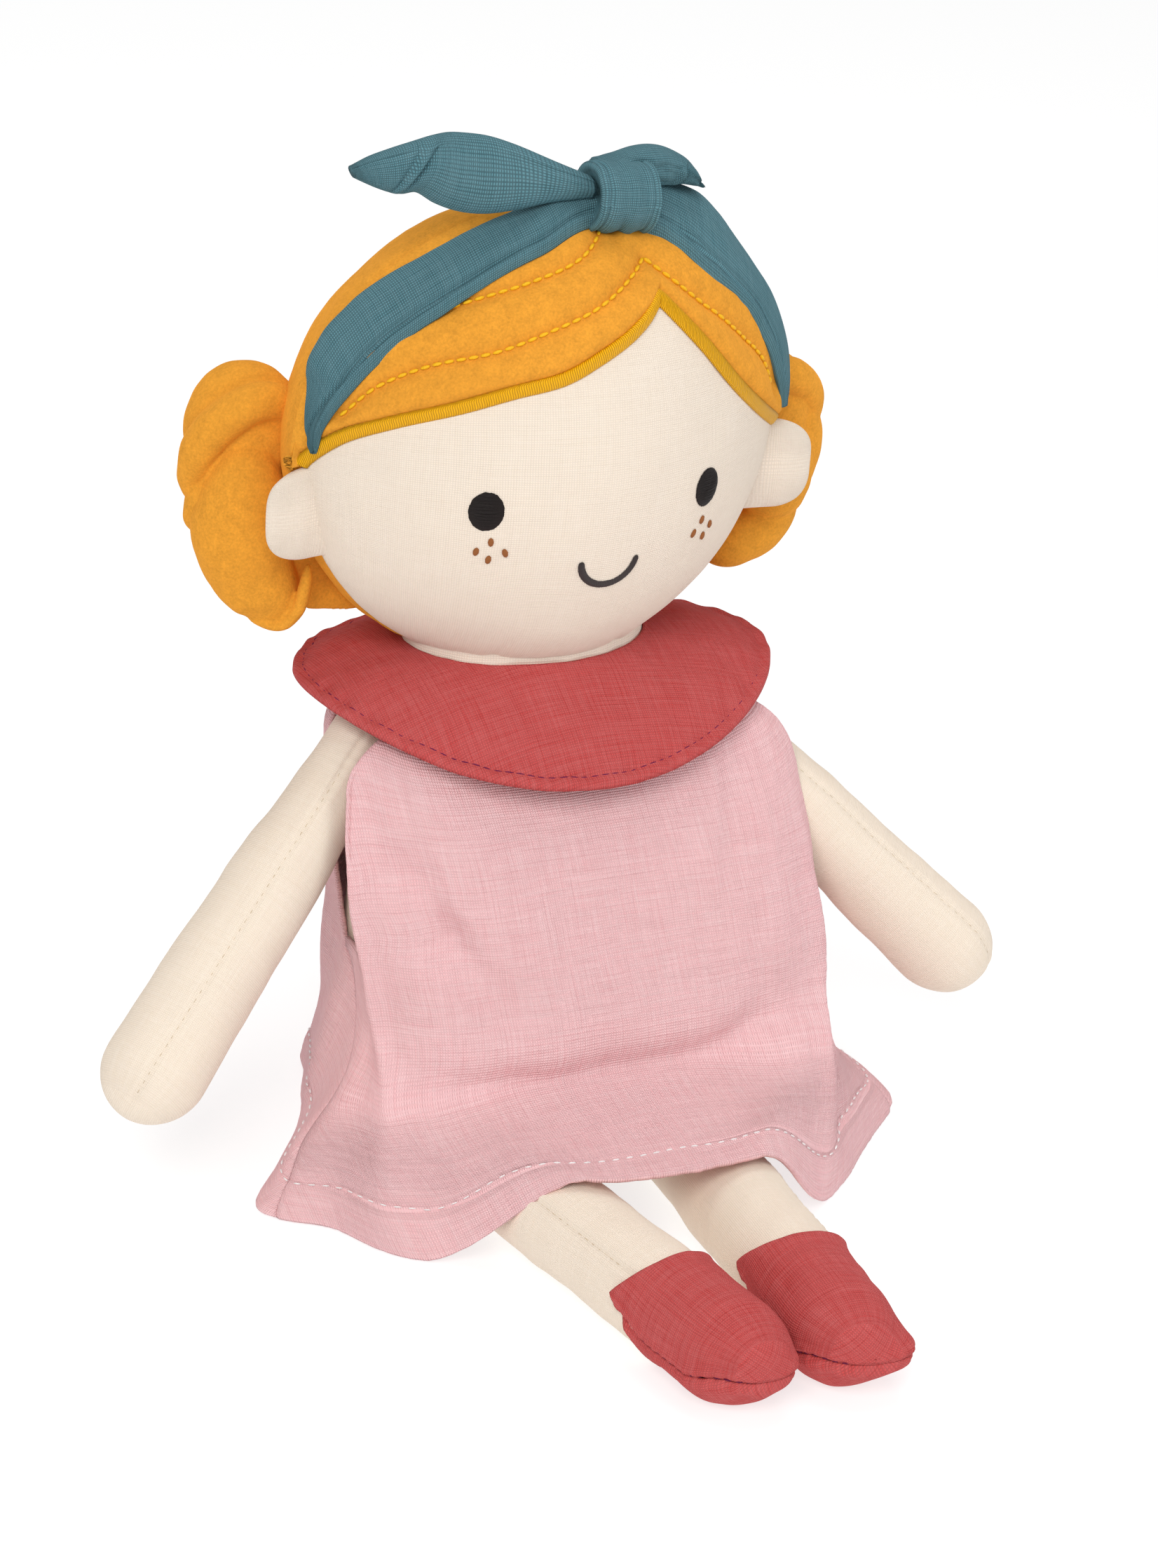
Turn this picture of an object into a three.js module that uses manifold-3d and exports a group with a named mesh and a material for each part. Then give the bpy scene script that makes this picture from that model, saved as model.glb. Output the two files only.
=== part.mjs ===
// A stuffed cloth doll that sits with its legs stretched out: linen skin, felt hair in two buns,
// a knotted headband, a sleeveless linen dress with a cape collar, and cloth shoes.
// Millimetres, +Z up. The doll faces -Y, and +X is its left.
// The origin is the middle of the flat seat, on the surface that the doll sits on.

import * as THREE from "three";
import { mergeVertices } from "three/addons/utils/BufferGeometryUtils.js";
import Module from "manifold-3d";

const wasm = await Module();
wasm.setup();

// Cloth, clearances and cutters
const gap = 0.3; // between pieces that lie against each other
const overrun = 6; // how far a cutter passes what it cuts
const linen = 1; // wall of a linen cover
const felt = 1.4; // wall of a felt piece
const satinStitch = 0.9; // height of filled embroidery
const ribbonCloth = 1.6; // headband, folded to four layers
const dressCloth = 1.2; // dress cloth with its turned edges
const collarCloth = 1.8; // collar, two layers and a seam

// Head: a flat-fronted stuffed bag, its side seams in the plane through its axis
const headHeight = 180; // of its widest level over the seat
const headAside = 10; // of its axis, because the doll leans to its left
const headBehind = 12; // of its axis behind the middle of the seat
const headHalfWidth = 66;
const headFrontDepth = 39.5;
const headBackDepth = 52;
const headCrown = 58.6; // from the widest level to the top
const headChin = 61.4; // from the widest level to where the chin would close
const frontRoundShare = 5 / 3; // exponent that sharpens the face panel towards its side seams
const neckDrop = 54; // from the widest level to where the head is sewn to the neck
const neckLevel = headHeight - neckDrop;

// Neck
const neckHalfWidth = 31;
const neckHalfDepth = 21;
const neckBehind = 15;
const neckFoot = 118; // where the neck is sewn to the torso

// Torso: half widths and half depths at its levels
const seatHalfWidth = 36;
const seatHalfDepth = 22;
const bellyHeight = 28;
const bellyHalfWidth = 45;
const bellyHalfDepth = 31;
const chestHeight = 88;
const chestHalfWidth = 40.5;
const chestHalfDepth = 27;
const shoulderHeight = 104;
const shoulderHalfWidth = 39.5;
const shoulderHalfDepth = 23.5;
const hipRise = 9; // height of the round edge between seat and belly
const hipShare = 0.7; // how much of the belly's fullness it has there
const waistShare = 0.5; // between belly and chest

// Arms: straight stuffed tubes, fullest at the hand
const armLength = 115.7; // from the shoulder pivot to the tip
const armRoot = 8.8;
const armMiddle = 11.8;
const armHand = 13.4;
const armTip = 15; // length of the round end
const armPivotAside = 45; // from the torso's axis
const armPivotHeight = 105;
const armPivotBehind = 7.2;
const armSpread = THREE.MathUtils.degToRad(42); // away from the body
const armForward = THREE.MathUtils.degToRad(25.5); // ahead of hanging straight down
const sewnOpening = 5; // radius of the hole that a limb is stuffed through

// Legs: straight stuffed tubes that lie on the ground and lean towards each other
const legLength = 149; // from the hip pivot to the toe
const legRoot = 12.4;
const legMiddle = 12.8;
const legFoot = 12.6;
const legTip = 17;
const flatDepth = 0.5; // how much the ground flattens a leg
const hipAside = 30;
const hipAhead = 24;
const rightLegTurn = THREE.MathUtils.degToRad(8.6);
const leftLegTurn = THREE.MathUtils.degToRad(4.8);
const shoeProud = 0.6; // of the shoe cloth over the skin
const shoeSideStart = 104; // of the shoe's edge from the hip, at the middle of its side
const shoeSlant = 0.62; // how much farther the edge lies for each millimetre up
const soleSeam = 8.5; // height of the seam between sole and upper

// Ears and hair buns
const earReach = 15;
const earHalfHeight = 12;
const earHalfThickness = 3.8;
const earSunk = 5; // of its middle inside the side seam
const earAhead = 2;
const earDrop = 15.8; // of its middle below the head's widest level
const bunHalfWidth = 25;
const bunHalfDepth = 18;
const bunHalfHeight = 36.4;
const bunSunk = 2;
const bunBehind = 20.5;
const bunDrop = 18;
const bunFolds = 3;
const bunFoldShare = 0.055; // how deep its folds are, of its half width
const bunTwist = 2.4; // radians that the folds turn between the middle and each end

// Face and hairline, in the plane that faces the doll's front
const hairPeakAside = 15.5; // of the parting from the head's axis
const hairPeakRise = 42; // over the head's widest level
const hairlineDrop = 2.5; // of the hairline where it meets the side seams
const hairlineSwell = 12; // how far the long side of the hairline bows up
const borderWidth = 3.4; // of the satin-stitched border below the hairline
const eyeAside = 30.8;
const eyeDrop = 6.6;
const eyeHalfWidth = 4.3;
const eyeHalfHeight = 5;
const mouthAside = 2;
const mouthDrop = 20.5;
const mouthHalfWidth = 7;
const mouthLine = 1.7;

// Headband and bow
const bandEndRise = 4; // of its ends over the head's widest level
const bandFrontTop = 19; // how far ahead of the seam its front edge passes over the crown
const bandBackTop = 2;
const bandFrontEnd = 5;
const bandBackSide = 5.4; // how far behind the seam its back edge passes at the temple
const bandTempleRise = 29;
const bandTempleShare = 0.62; // how much of its full slant forward it has at the temple
const bandShoulderShare = 0.75; // of the way from temple to crown, where its front edge is level
const knotAside = 12.5;
const knotAhead = 10;
const knotRise = 63.5;
const knotHalfWidth = 8.4;
const knotHalfDepth = 9.4;
const knotHalfHeight = 7.4;
const knotTilt = THREE.MathUtils.degToRad(24);
const knotSquareness = 0.75; // exponent of the knot's outline, 1 for an ellipse
const bowCloth = 2.4; // two layers, slightly puffed
const longEndLength = 71;
const longEndRise = 10;
const longEndHalfWidth = 9.6;
const longEndBack = 2;
const longEndWidestShare = 0.5; // along it, where it is widest
const longEndLean = 0.25; // of its face, backwards for each part up
const shortEndLength = 24;
const shortEndDrop = 6;
const shortEndBack = 11;
const shortEndHalfWidth = 8;
const shortEndWidestShare = 0.6;
const shortEndLean = 0.5;
const shortEndTwist = 0.2; // of its face, towards the knot for each part up
const bowRootHalfWidth = 4.6;
const bowTipHalfWidth = 0.8;

// Dress: rings from the neckline to the hem, with half widths and reaches ahead and behind
const necklineRing = {
  aside: 9.6,
  behind: 15,
  half: 33,
  ahead: 23.5,
  back: 24,
  side: 117,
  front: 116,
  rear: 117,
};
const yokeRing = {
  aside: 13.5,
  behind: 12,
  half: 63,
  ahead: 31,
  back: 30,
  side: 104,
  front: 97,
  rear: 104,
};
const chestRing = {
  aside: 15.5,
  behind: 7,
  half: 68,
  ahead: 38,
  back: 33,
  side: 80,
  front: 80,
  rear: 80,
};
const waistRing = {
  aside: 16,
  behind: 3,
  half: 68.5,
  ahead: 50,
  back: 38,
  side: 50,
  front: 52,
  rear: 48,
};
const lapRing = {
  aside: 13.7,
  behind: 0,
  half: 69,
  ahead: 67,
  back: 43,
  side: 22,
  front: 32.5,
  rear: 20,
};
const ringSquareness = 4; // exponent of the rings' outline, 2 for an ellipse
const hemAside = 9;
const hemHalfWidth = 93;
const hemAhead = 102;
const hemBack = 50;
const hemLift = 28; // of the hem where it lies over the legs
const hemClear = 0.7; // of the hem over the ground
const leftSpreadShares = [0, 0.25, 0.46, 0.62, 0.82, 1, 0.99, 0.84, 0.66, 0.35, 0];
const rightSpreadShares = [0, 0.25, 0.46, 0.62, 0.82, 0.97, 0.83, 0.68, 0.57, 0.32, 0];
const hemReachShares = [-1, -0.98, -0.87, -0.76, -0.58, -0.4, -0.2, 0.1, 0.6, 0.92, 1];
const hemLiftStart = 22; // half width of the lifted stretch of the hem
const hemLiftEnd = 56; // where it is down on the ground again
const legsMiddle = 4; // of the lifted stretch
const turnShares = [0, 0.09, 0.17, 0.24, 0.31, 0.37, 0.45, 0.53, 0.65, 0.82, 1];
const sideSeamTopShare = 0.34; // place of the side seam round the neckline, from the front
const sideSeamWaistShare = 0.335; // round the waist, at the armhole's foot
const sideSeamHemShare = 0.25; // and round the hem
const armholeFootShare = 0.6; // down the panel
const armholeRoundness = 0.4; // exponent of its outline, 1 for a sine
const armholeFrontShare = 0.108; // how far the front panel is cut back, round the ring
const armholeBackShare = 0.03;
const hemFlutes = 9;
const hemFluteDepth = 1.6;
const slopeShare = 0.002; // step along the dress over which its slope is measured

// Collar
const collarInnerHalf = 33.5;
const collarInnerDepth = 24;
const collarRise = 5; // of its inner edge over the neck's foot
const collarInnerHeight = neckFoot + collarRise;
const collarHalfWidth = 64;
const collarReach = 45;
const collarBack = 46;
const collarAside = 13;
const collarSideDrop = 3.5; // of its outer edge below the neck's foot
const collarSideHeight = neckFoot - collarSideDrop;
const collarFrontDrop = 21;
const collarFrontHeight = neckFoot - collarFrontDrop;
const collarBackDrop = 6;
const collarBackHeight = neckFoot - collarBackDrop;
const collarCrown = 2.2; // how far it bows up between its edges

// Counts of facets
const headAround = 26;
const headUp = 15;
const limbAround = 12;
const limbAlong = 5;
const roundSteps = 3;
const torsoAround = 20;
const torsoUp = 11;
const dressAcross = 22;
const dressDown = 13;
const collarAround = 32;
const collarSteps = 3;
const outlineSteps = 12;
const bunAround = 20;
const bunUp = 12;
const earAround = 12;
const earUp = 8;
const knotAround = 16;
const knotUp = 10;
const socketAround = 16;
const socketUp = 10;
const leafAlong = 10;
const leafAcross = 4;

const up = new THREE.Vector3(0, 0, 1);
const right = -1;
const left = 1;

// Small helpers for blending and for signed powers
const mix = THREE.MathUtils.lerp;
const ease = (share) => THREE.MathUtils.smoothstep(share, 0, 1);
const signedPower = (value, power) => Math.sign(value) * Math.abs(value) ** power;

// Drops collapsed facets and turns the faces outwards
function facingOut(geometry) {
  const position = geometry.getAttribute("position");
  const corners = [];
  const [a, b, c] = [new THREE.Vector3(), new THREE.Vector3(), new THREE.Vector3()];
  let volume = 0;
  for (let i = 0; i < geometry.index.count; i += 3) {
    const ids = [0, 1, 2].map((step) => geometry.index.getX(i + step));
    if (new Set(ids).size < ids.length) {
      continue;
    }
    corners.push(ids);
    a.fromBufferAttribute(position, ids[0]);
    b.fromBufferAttribute(position, ids[1]);
    c.fromBufferAttribute(position, ids[2]);
    volume += a.dot(b.cross(c));
  }
  const turned = volume < 0 ? corners.map((ids) => [ids[0], ids[2], ids[1]]) : corners;
  geometry.setIndex(turned.flat());
  return geometry;
}

// A closed geometry whose corners are moved one by one
function formed(source, place = (corner) => corner) {
  const bare = new THREE.BufferGeometry();
  bare.setAttribute("position", source.getAttribute("position").clone());
  bare.setIndex(source.index);
  const welded = mergeVertices(bare);
  const position = welded.getAttribute("position");
  for (let i = 0; i < position.count; i += 1) {
    const placed = place(new THREE.Vector3().fromBufferAttribute(position, i));
    position.setXYZ(i, placed.x, placed.y, placed.z);
  }
  return facingOut(welded);
}

// A geometry as a solid that can be cut and joined, and back
function solidOf(geometry) {
  const vertProperties = Float32Array.from(geometry.getAttribute("position").array);
  const triVerts = Uint32Array.from(geometry.index.array);
  return new wasm.Manifold(new wasm.Mesh({ numProp: 3, vertProperties, triVerts }));
}

function geometryOf(solid) {
  const mesh = solid.getMesh();
  const geometry = new THREE.BufferGeometry();
  geometry.setAttribute("position", new THREE.BufferAttribute(Float32Array.from(mesh.vertProperties), 3));
  geometry.setIndex(new THREE.BufferAttribute(Uint32Array.from(mesh.triVerts), 1));
  return geometry;
}

// A block between two corners, as a cutter
function block(low, high) {
  const size = new THREE.Vector3().subVectors(high, low);
  const box = new THREE.BoxGeometry(size.x, size.y, size.z);
  box.translate((low.x + high.x) / 2, (low.y + high.y) / 2, (low.z + high.z) / 2);
  return solidOf(formed(box));
}

// Everything of the doll lies within this reach of the origin
const farReach = headHeight + headCrown + armLength;

// Head
// The head's surface, grown outwards or shrunk by an offset
function headSolid(offset) {
  const ball = new THREE.SphereGeometry(1, headAround, headUp, Math.PI / headAround);
  ball.rotateX(Math.PI / 2);
  const place = (unit) => {
    const level = Math.sqrt(Math.max(1 - unit.z * unit.z, 0));
    const share = level > 0 ? unit.y / level : 0;
    const front = -(headFrontDepth + offset) * level * Math.abs(share) ** frontRoundShare;
    const back = (headBackDepth + offset) * unit.y;
    const height = (unit.z > 0 ? headCrown : headChin) + offset;
    return new THREE.Vector3(
      headAside + (headHalfWidth + offset) * unit.x,
      headBehind + (unit.y < 0 ? front : back),
      headHeight + height * unit.z,
    );
  };
  return solidOf(formed(ball, place));
}

// A layer of cloth on the head, between two offsets
const headLayer = (inner, outer) => headSolid(outer).subtract(headSolid(inner));

const faceSide = block(
  new THREE.Vector3(-farReach, -farReach, neckLevel),
  new THREE.Vector3(farReach, headBehind - gap / 2, farReach),
);
const hairSide = block(
  new THREE.Vector3(-farReach, headBehind + gap / 2, neckLevel),
  new THREE.Vector3(farReach, farReach, farReach),
);

// An outline seen from the doll's front, cut through the front half of the head
function throughFace(points) {
  const depth = headFrontDepth + overrun + overrun;
  const outline = new THREE.ExtrudeGeometry(new THREE.Shape(points), { depth, bevelEnabled: false });
  const place = (corner) => new THREE.Vector3(
    headAside + corner.x,
    headBehind - gap / 2 - corner.z,
    corner.y,
  );
  return solidOf(formed(outline, place));
}

// The hairline from the doll's right side seam over the parting to its left side seam
function hairlinePoints(drop) {
  const endHeight = headHeight - hairlineDrop - drop;
  const peak = new THREE.Vector2(hairPeakAside, headHeight + hairPeakRise - drop);
  const rightEnd = new THREE.Vector2(-headHalfWidth - overrun, endHeight);
  const leftEnd = new THREE.Vector2(headHalfWidth + overrun, endHeight);
  const swell = new THREE.Vector2(hairlineSwell, hairlineSwell / 2);
  const rightBow = rightEnd.clone().lerp(peak, 0.5).add(swell);
  const leftBow = leftEnd.clone().lerp(peak, 0.5);
  const rise = new THREE.QuadraticBezierCurve(rightEnd, rightBow, peak).getPoints(outlineSteps);
  const fall = new THREE.QuadraticBezierCurve(peak, leftBow, leftEnd).getPoints(outlineSteps / 2);
  return [...rise, ...fall.slice(1)];
}

// The stretch between the hairline and a higher or lower copy of it
const hairTop = headHeight + headCrown + overrun + overrun;
const hairOutline = [
  ...hairlinePoints(0),
  new THREE.Vector2(headHalfWidth + overrun, hairTop),
  new THREE.Vector2(-headHalfWidth - overrun, hairTop),
];
const borderOutline = [...hairlinePoints(borderWidth), ...hairlinePoints(gap).reverse()];
const facePanel = headLayer(-linen, 0).intersect(faceSide);
const frontFelt = headLayer(gap, gap + felt).intersect(faceSide);
const hairFront = frontFelt.intersect(throughFace(hairOutline));
const hairlineBorder = frontFelt.intersect(throughFace(borderOutline));
const hairBack = headLayer(-linen, felt - linen).intersect(hairSide);
const aboveNeck = block(
  new THREE.Vector3(-farReach, -farReach, neckLevel),
  new THREE.Vector3(farReach, farReach, farReach),
);
const headStuffing = headSolid(-linen - gap).intersect(aboveNeck);

// Eyes and mouth are filled embroidery on the face panel
function embroidered(points) {
  return headLayer(gap, gap + satinStitch).intersect(faceSide).intersect(throughFace(points));
}

function eye(side) {
  const oval = new THREE.EllipseCurve(side * eyeAside, headHeight - eyeDrop, eyeHalfWidth, eyeHalfHeight);
  return embroidered(oval.getPoints(outlineSteps).slice(1));
}

function mouth() {
  const line = (grow) => new THREE.EllipseCurve(
    mouthAside,
    headHeight - mouthDrop,
    mouthHalfWidth + grow,
    mouthHalfWidth + grow,
    Math.PI,
    2 * Math.PI,
  ).getPoints(outlineSteps);
  return embroidered([...line(mouthLine / 2), ...line(-mouthLine / 2).reverse()]);
}

// An oval cushion with a centre and half sizes
function cushion(centre, half, around, high, swell = () => 1) {
  const ball = new THREE.SphereGeometry(1, around, high);
  ball.rotateX(Math.PI / 2);
  const place = (unit) => {
    const grown = swell(unit);
    return new THREE.Vector3(unit.x * grown, unit.y * grown, unit.z).multiply(half).add(centre);
  };
  return solidOf(formed(ball, place));
}

// A bun is a rope of felt rolled round itself, so its folds run round it in a spiral
function bun(side, grow) {
  const aside = side * (headHalfWidth - bunSunk);
  const centre = new THREE.Vector3(headAside + aside, headBehind + bunBehind, headHeight - bunDrop);
  const half = new THREE.Vector3(bunHalfWidth + grow, bunHalfDepth + grow, bunHalfHeight + grow);
  const folds = (unit) => {
    const turn = Math.atan2(unit.y, side * unit.x);
    return 1 + bunFoldShare * Math.cos(bunFolds * turn + bunTwist * unit.z * bunFolds);
  };
  return cushion(centre, half, bunAround, bunUp, folds).subtract(headSolid(felt - linen + gap - grow));
}

// An ear is a small half round, sewn into the side seam in front of the bun
function ear(side) {
  const aside = side * (headHalfWidth - earSunk);
  const centre = new THREE.Vector3(headAside + aside, headBehind - earAhead, headHeight - earDrop);
  const half = new THREE.Vector3(earReach, earHalfThickness, earHalfHeight);
  const whole = cushion(centre, half, earAround, earUp);
  return whole.subtract(headSolid(felt - linen + gap)).subtract(bun(side, gap));
}

// Headband: a strip from one side seam over the crown to the other
const bandInner = gap + felt + gap;
const bandOuter = bandInner + ribbonCloth;

function headband() {
  const crownHeight = headHeight + headCrown;
  const temple = headHeight + bandTempleRise;
  const end = headHeight + bandEndRise;
  const outline = new THREE.Shape([
    new THREE.Vector2(-bandFrontEnd, end),
    new THREE.Vector2(-mix(bandFrontEnd, bandFrontTop, bandTempleShare), temple),
    new THREE.Vector2(-bandFrontTop, mix(temple, crownHeight, bandShoulderShare)),
    new THREE.Vector2(-bandFrontTop, crownHeight + overrun + overrun),
    new THREE.Vector2(-bandBackTop, crownHeight + overrun + overrun),
    new THREE.Vector2(-bandBackTop, crownHeight),
    new THREE.Vector2(bandBackSide, temple),
    new THREE.Vector2(0, end),
  ]);
  const width = headHalfWidth + overrun + overrun;
  const strip = new THREE.ExtrudeGeometry(outline, { depth: width + width, bevelEnabled: false });
  const place = (corner) => new THREE.Vector3(
    headAside + corner.z - width,
    headBehind + corner.x,
    corner.y,
  );
  const cutter = solidOf(formed(strip, place));
  return headLayer(bandInner, bandOuter).intersect(cutter);
}

const knotCentre = new THREE.Vector3(
  headAside + knotAside,
  headBehind - knotAhead,
  headHeight + knotRise,
);

function knotSolid(grow) {
  const ball = new THREE.SphereGeometry(1, knotAround, knotUp);
  const half = new THREE.Vector3(knotHalfWidth + grow, knotHalfDepth + grow, knotHalfHeight + grow);
  const place = (unit) => {
    const squared = new THREE.Vector3(
      signedPower(unit.x, knotSquareness),
      signedPower(unit.y, knotSquareness),
      signedPower(unit.z, knotSquareness),
    );
    return squared.multiply(half).applyAxisAngle(new THREE.Vector3(1, 0, 0), knotTilt).add(knotCentre);
  };
  return solidOf(formed(ball, place));
}

const bowKnot = knotSolid(0).subtract(headSolid(bandOuter + gap));

// A bow end is a leaf of doubled cloth along a curve, narrow where it leaves the knot
function bowEnd(route, halfWidth, widest, face) {
  const leaf = new THREE.BoxGeometry(1, 1, 1, leafAlong, leafAcross, 1);
  const place = (unit) => {
    const share = unit.x + 0.5;
    const centre = route.getPoint(share);
    const tangent = route.getTangent(share);
    const across = face.clone().addScaledVector(tangent, -face.dot(tangent)).normalize();
    const through = new THREE.Vector3().crossVectors(tangent, across);
    const grow = ease(share / widest);
    const shrink = ease((1 - share) / (1 - widest));
    const width = share < widest
      ? mix(bowRootHalfWidth, halfWidth, grow)
      : mix(bowTipHalfWidth, halfWidth, shrink);
    const curl = Math.cos(unit.y * Math.PI);
    return centre
      .addScaledVector(across, unit.y * 2 * width)
      .addScaledVector(through, unit.z * bowCloth + curl * bowCloth / 2);
  };
  return solidOf(formed(leaf, place)).subtract(knotSolid(gap)).subtract(headSolid(bandOuter + gap));
}

function longEnd() {
  const start = knotCentre.clone().add(new THREE.Vector3(-knotHalfWidth / 2, 0, bowRootHalfWidth));
  const middle = start.clone().add(new THREE.Vector3(-longEndLength / 2, longEndBack, longEndRise / 2));
  const tip = start.clone().add(new THREE.Vector3(-longEndLength, longEndBack, longEndRise));
  const bowed = middle.clone().addScaledVector(up, bowRootHalfWidth);
  const route = new THREE.QuadraticBezierCurve3(start, bowed, tip);
  return bowEnd(route, longEndHalfWidth, longEndWidestShare, new THREE.Vector3(0, longEndLean, 1));
}

function shortEnd() {
  const start = knotCentre.clone().add(new THREE.Vector3(knotHalfWidth / 2, bowCloth, bowRootHalfWidth));
  const tip = start.clone().add(new THREE.Vector3(shortEndLength, shortEndBack, -shortEndDrop));
  const bowed = start.clone().lerp(tip, 0.5).addScaledVector(up, bowRootHalfWidth);
  const route = new THREE.QuadraticBezierCurve3(start, bowed, tip);
  const face = new THREE.Vector3(-shortEndTwist, shortEndLean, 1);
  return bowEnd(route, shortEndHalfWidth, shortEndWidestShare, face);
}

// Torso
// Half width, half depth and height at each level, then how far the middle leans at a height
const seatLevel = new THREE.Vector3(seatHalfWidth, seatHalfDepth, 0);
const bellyLevel = new THREE.Vector3(bellyHalfWidth, bellyHalfDepth, bellyHeight);
const hipLevel = seatLevel.clone().lerp(bellyLevel, hipShare).setZ(hipRise);
const chestLevel = new THREE.Vector3(chestHalfWidth, chestHalfDepth, chestHeight);
const waistLevel = bellyLevel.clone().lerp(chestLevel, waistShare);
const shoulderLevel = new THREE.Vector3(shoulderHalfWidth, shoulderHalfDepth, shoulderHeight);
const collarLevel = new THREE.Vector3(neckHalfWidth, neckHalfDepth, neckFoot);
const torsoLevels = [seatLevel, hipLevel, bellyLevel, waistLevel, chestLevel, shoulderLevel, collarLevel];
const torsoCurve = new THREE.CatmullRomCurve3(torsoLevels, false, "centripetal");
const leanAt = (height) => new THREE.Vector3(
  headAside * height / neckFoot,
  neckBehind * height / neckFoot,
  0,
);

// The torso's surface shrunk by an inset, closed by a flat seat and by a flat top at the neck
function torsoSolid(inset, floor, rise) {
  const shares = Array.from({ length: torsoUp + 1 }, (_, i) => i / torsoUp);
  const top = rise > 0 ? 2 : 1;
  const profile = [
    new THREE.Vector2(0, 0),
    ...shares.map((share) => new THREE.Vector2(1, share)),
    ...(rise > 0 ? [new THREE.Vector2(1, top)] : []),
    new THREE.Vector2(0, top),
  ];
  const turned = new THREE.LatheGeometry(profile, torsoAround);
  turned.rotateX(Math.PI / 2);
  const place = (unit) => {
    const level = torsoCurve.getPoint(THREE.MathUtils.clamp(unit.z, 0, 1));
    const above = unit.z > (1 + top) / 2 ? rise : 0;
    const height = Math.max(level.z, floor) + above;
    const middle = leanAt(level.z);
    return new THREE.Vector3(
      middle.x + (level.x - inset) * unit.x,
      middle.y + (level.y - inset) * unit.y,
      height,
    );
  };
  return solidOf(formed(turned, place));
}

// Limbs
// A limb's outline from its round root to its round tip, as radius and distance along it
function limbProfile(limb, inset) {
  const root = limb.root - inset;
  const hand = limb.hand - inset;
  const tip = limb.tip - inset;
  const points = [];
  for (let i = 0; i < roundSteps; i += 1) {
    const angle = (Math.PI / 2) * (i / roundSteps);
    points.push(new THREE.Vector2(root * Math.sin(angle), -root * Math.cos(angle)));
  }
  const straight = limb.length - limb.tip;
  for (let i = 0; i < limbAlong; i += 1) {
    const share = i / limbAlong;
    const early = mix(limb.root, limb.middle, ease(share * 2));
    const late = mix(limb.middle, limb.hand, ease(share * 2 - 1));
    points.push(new THREE.Vector2((share < 0.5 ? early : late) - inset, straight * share));
  }
  for (let i = 0; i <= roundSteps; i += 1) {
    const angle = (Math.PI / 2) * (i / roundSteps);
    const radius = i < roundSteps ? hand * Math.cos(angle) : 0;
    points.push(new THREE.Vector2(radius, straight + tip * Math.sin(angle)));
  }
  return points;
}

// A limb shrunk by an inset, from its pivot along its direction and never below a floor
function limbSolid(limb, inset, floor) {
  const turned = new THREE.LatheGeometry(limbProfile(limb, inset), limbAround);
  const spin = new THREE.Quaternion().setFromUnitVectors(new THREE.Vector3(0, 1, 0), limb.direction);
  const place = (corner) => {
    const placed = corner.applyQuaternion(spin).add(limb.pivot);
    placed.z = Math.max(placed.z, floor);
    return placed;
  };
  return solidOf(formed(turned, place));
}

// A round rod along a direction, as a cutter
function rod(start, direction, radius, length) {
  const cylinder = new THREE.CylinderGeometry(radius, radius, length, limbAround);
  cylinder.translate(0, length / 2, 0);
  const spin = new THREE.Quaternion().setFromUnitVectors(new THREE.Vector3(0, 1, 0), direction);
  return solidOf(formed(cylinder, (corner) => corner.applyQuaternion(spin).add(start)));
}

// A limb's cover is a shell that is open at the root, where it was stuffed and sewn on
function limbCover(limb) {
  const inner = limbSolid(limb, linen, linen);
  const back = limb.direction.clone().negate();
  const opening = rod(limb.pivot, back, sewnOpening, limb.root + overrun);
  return limbSolid(limb, 0, 0).subtract(inner).subtract(opening);
}

const limbStuffing = (limb) => limbSolid(limb, linen + gap, linen + gap);

function arm(side) {
  const direction = new THREE.Vector3(
    side * Math.sin(armSpread),
    -Math.cos(armSpread) * Math.sin(armForward),
    -Math.cos(armSpread) * Math.cos(armForward),
  );
  const pivot = new THREE.Vector3(side * armPivotAside, armPivotBehind, armPivotHeight);
  pivot.x += leanAt(armPivotHeight).x;
  return {
    pivot,
    direction,
    length: armLength,
    root: armRoot,
    middle: armMiddle,
    hand: armHand,
    tip: armTip,
  };
}

function leg(side) {
  const turn = side === right ? rightLegTurn : leftLegTurn;
  return {
    pivot: new THREE.Vector3(side * hipAside, -hipAhead, legMiddle - flatDepth),
    direction: new THREE.Vector3(-side * Math.sin(turn), -Math.cos(turn), 0),
    length: legLength,
    root: legRoot,
    middle: legMiddle,
    hand: legFoot,
    tip: legTip,
  };
}

// The socket that a limb's round root turns in
function socket(limb) {
  const size = new THREE.Vector3(1, 1, 1).multiplyScalar(limb.root + gap + gap);
  return cushion(limb.pivot, size, socketAround, socketUp);
}

// Under each hip the seat is cut back, because the leg swings down there
function hipCut(limb) {
  const down = new THREE.Vector3(limb.direction.x, 0, limb.direction.y);
  return socket(limb).add(rod(limb.pivot, down, limb.middle + gap + gap, limb.pivot.z + overrun));
}

const arms = { right: arm(right), left: arm(left) };
const legs = { right: leg(right), left: leg(left) };
const sockets = [socket(arms.right), socket(arms.left), hipCut(legs.right), hipCut(legs.left)];
const withoutSockets = (solid) => sockets.reduce((rest, cutter) => rest.subtract(cutter), solid);
const torsoCover = withoutSockets(torsoSolid(0, 0, 0).subtract(torsoSolid(linen, linen, overrun)));
const torsoStuffing = withoutSockets(torsoSolid(linen + gap, linen + gap, 0));

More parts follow.
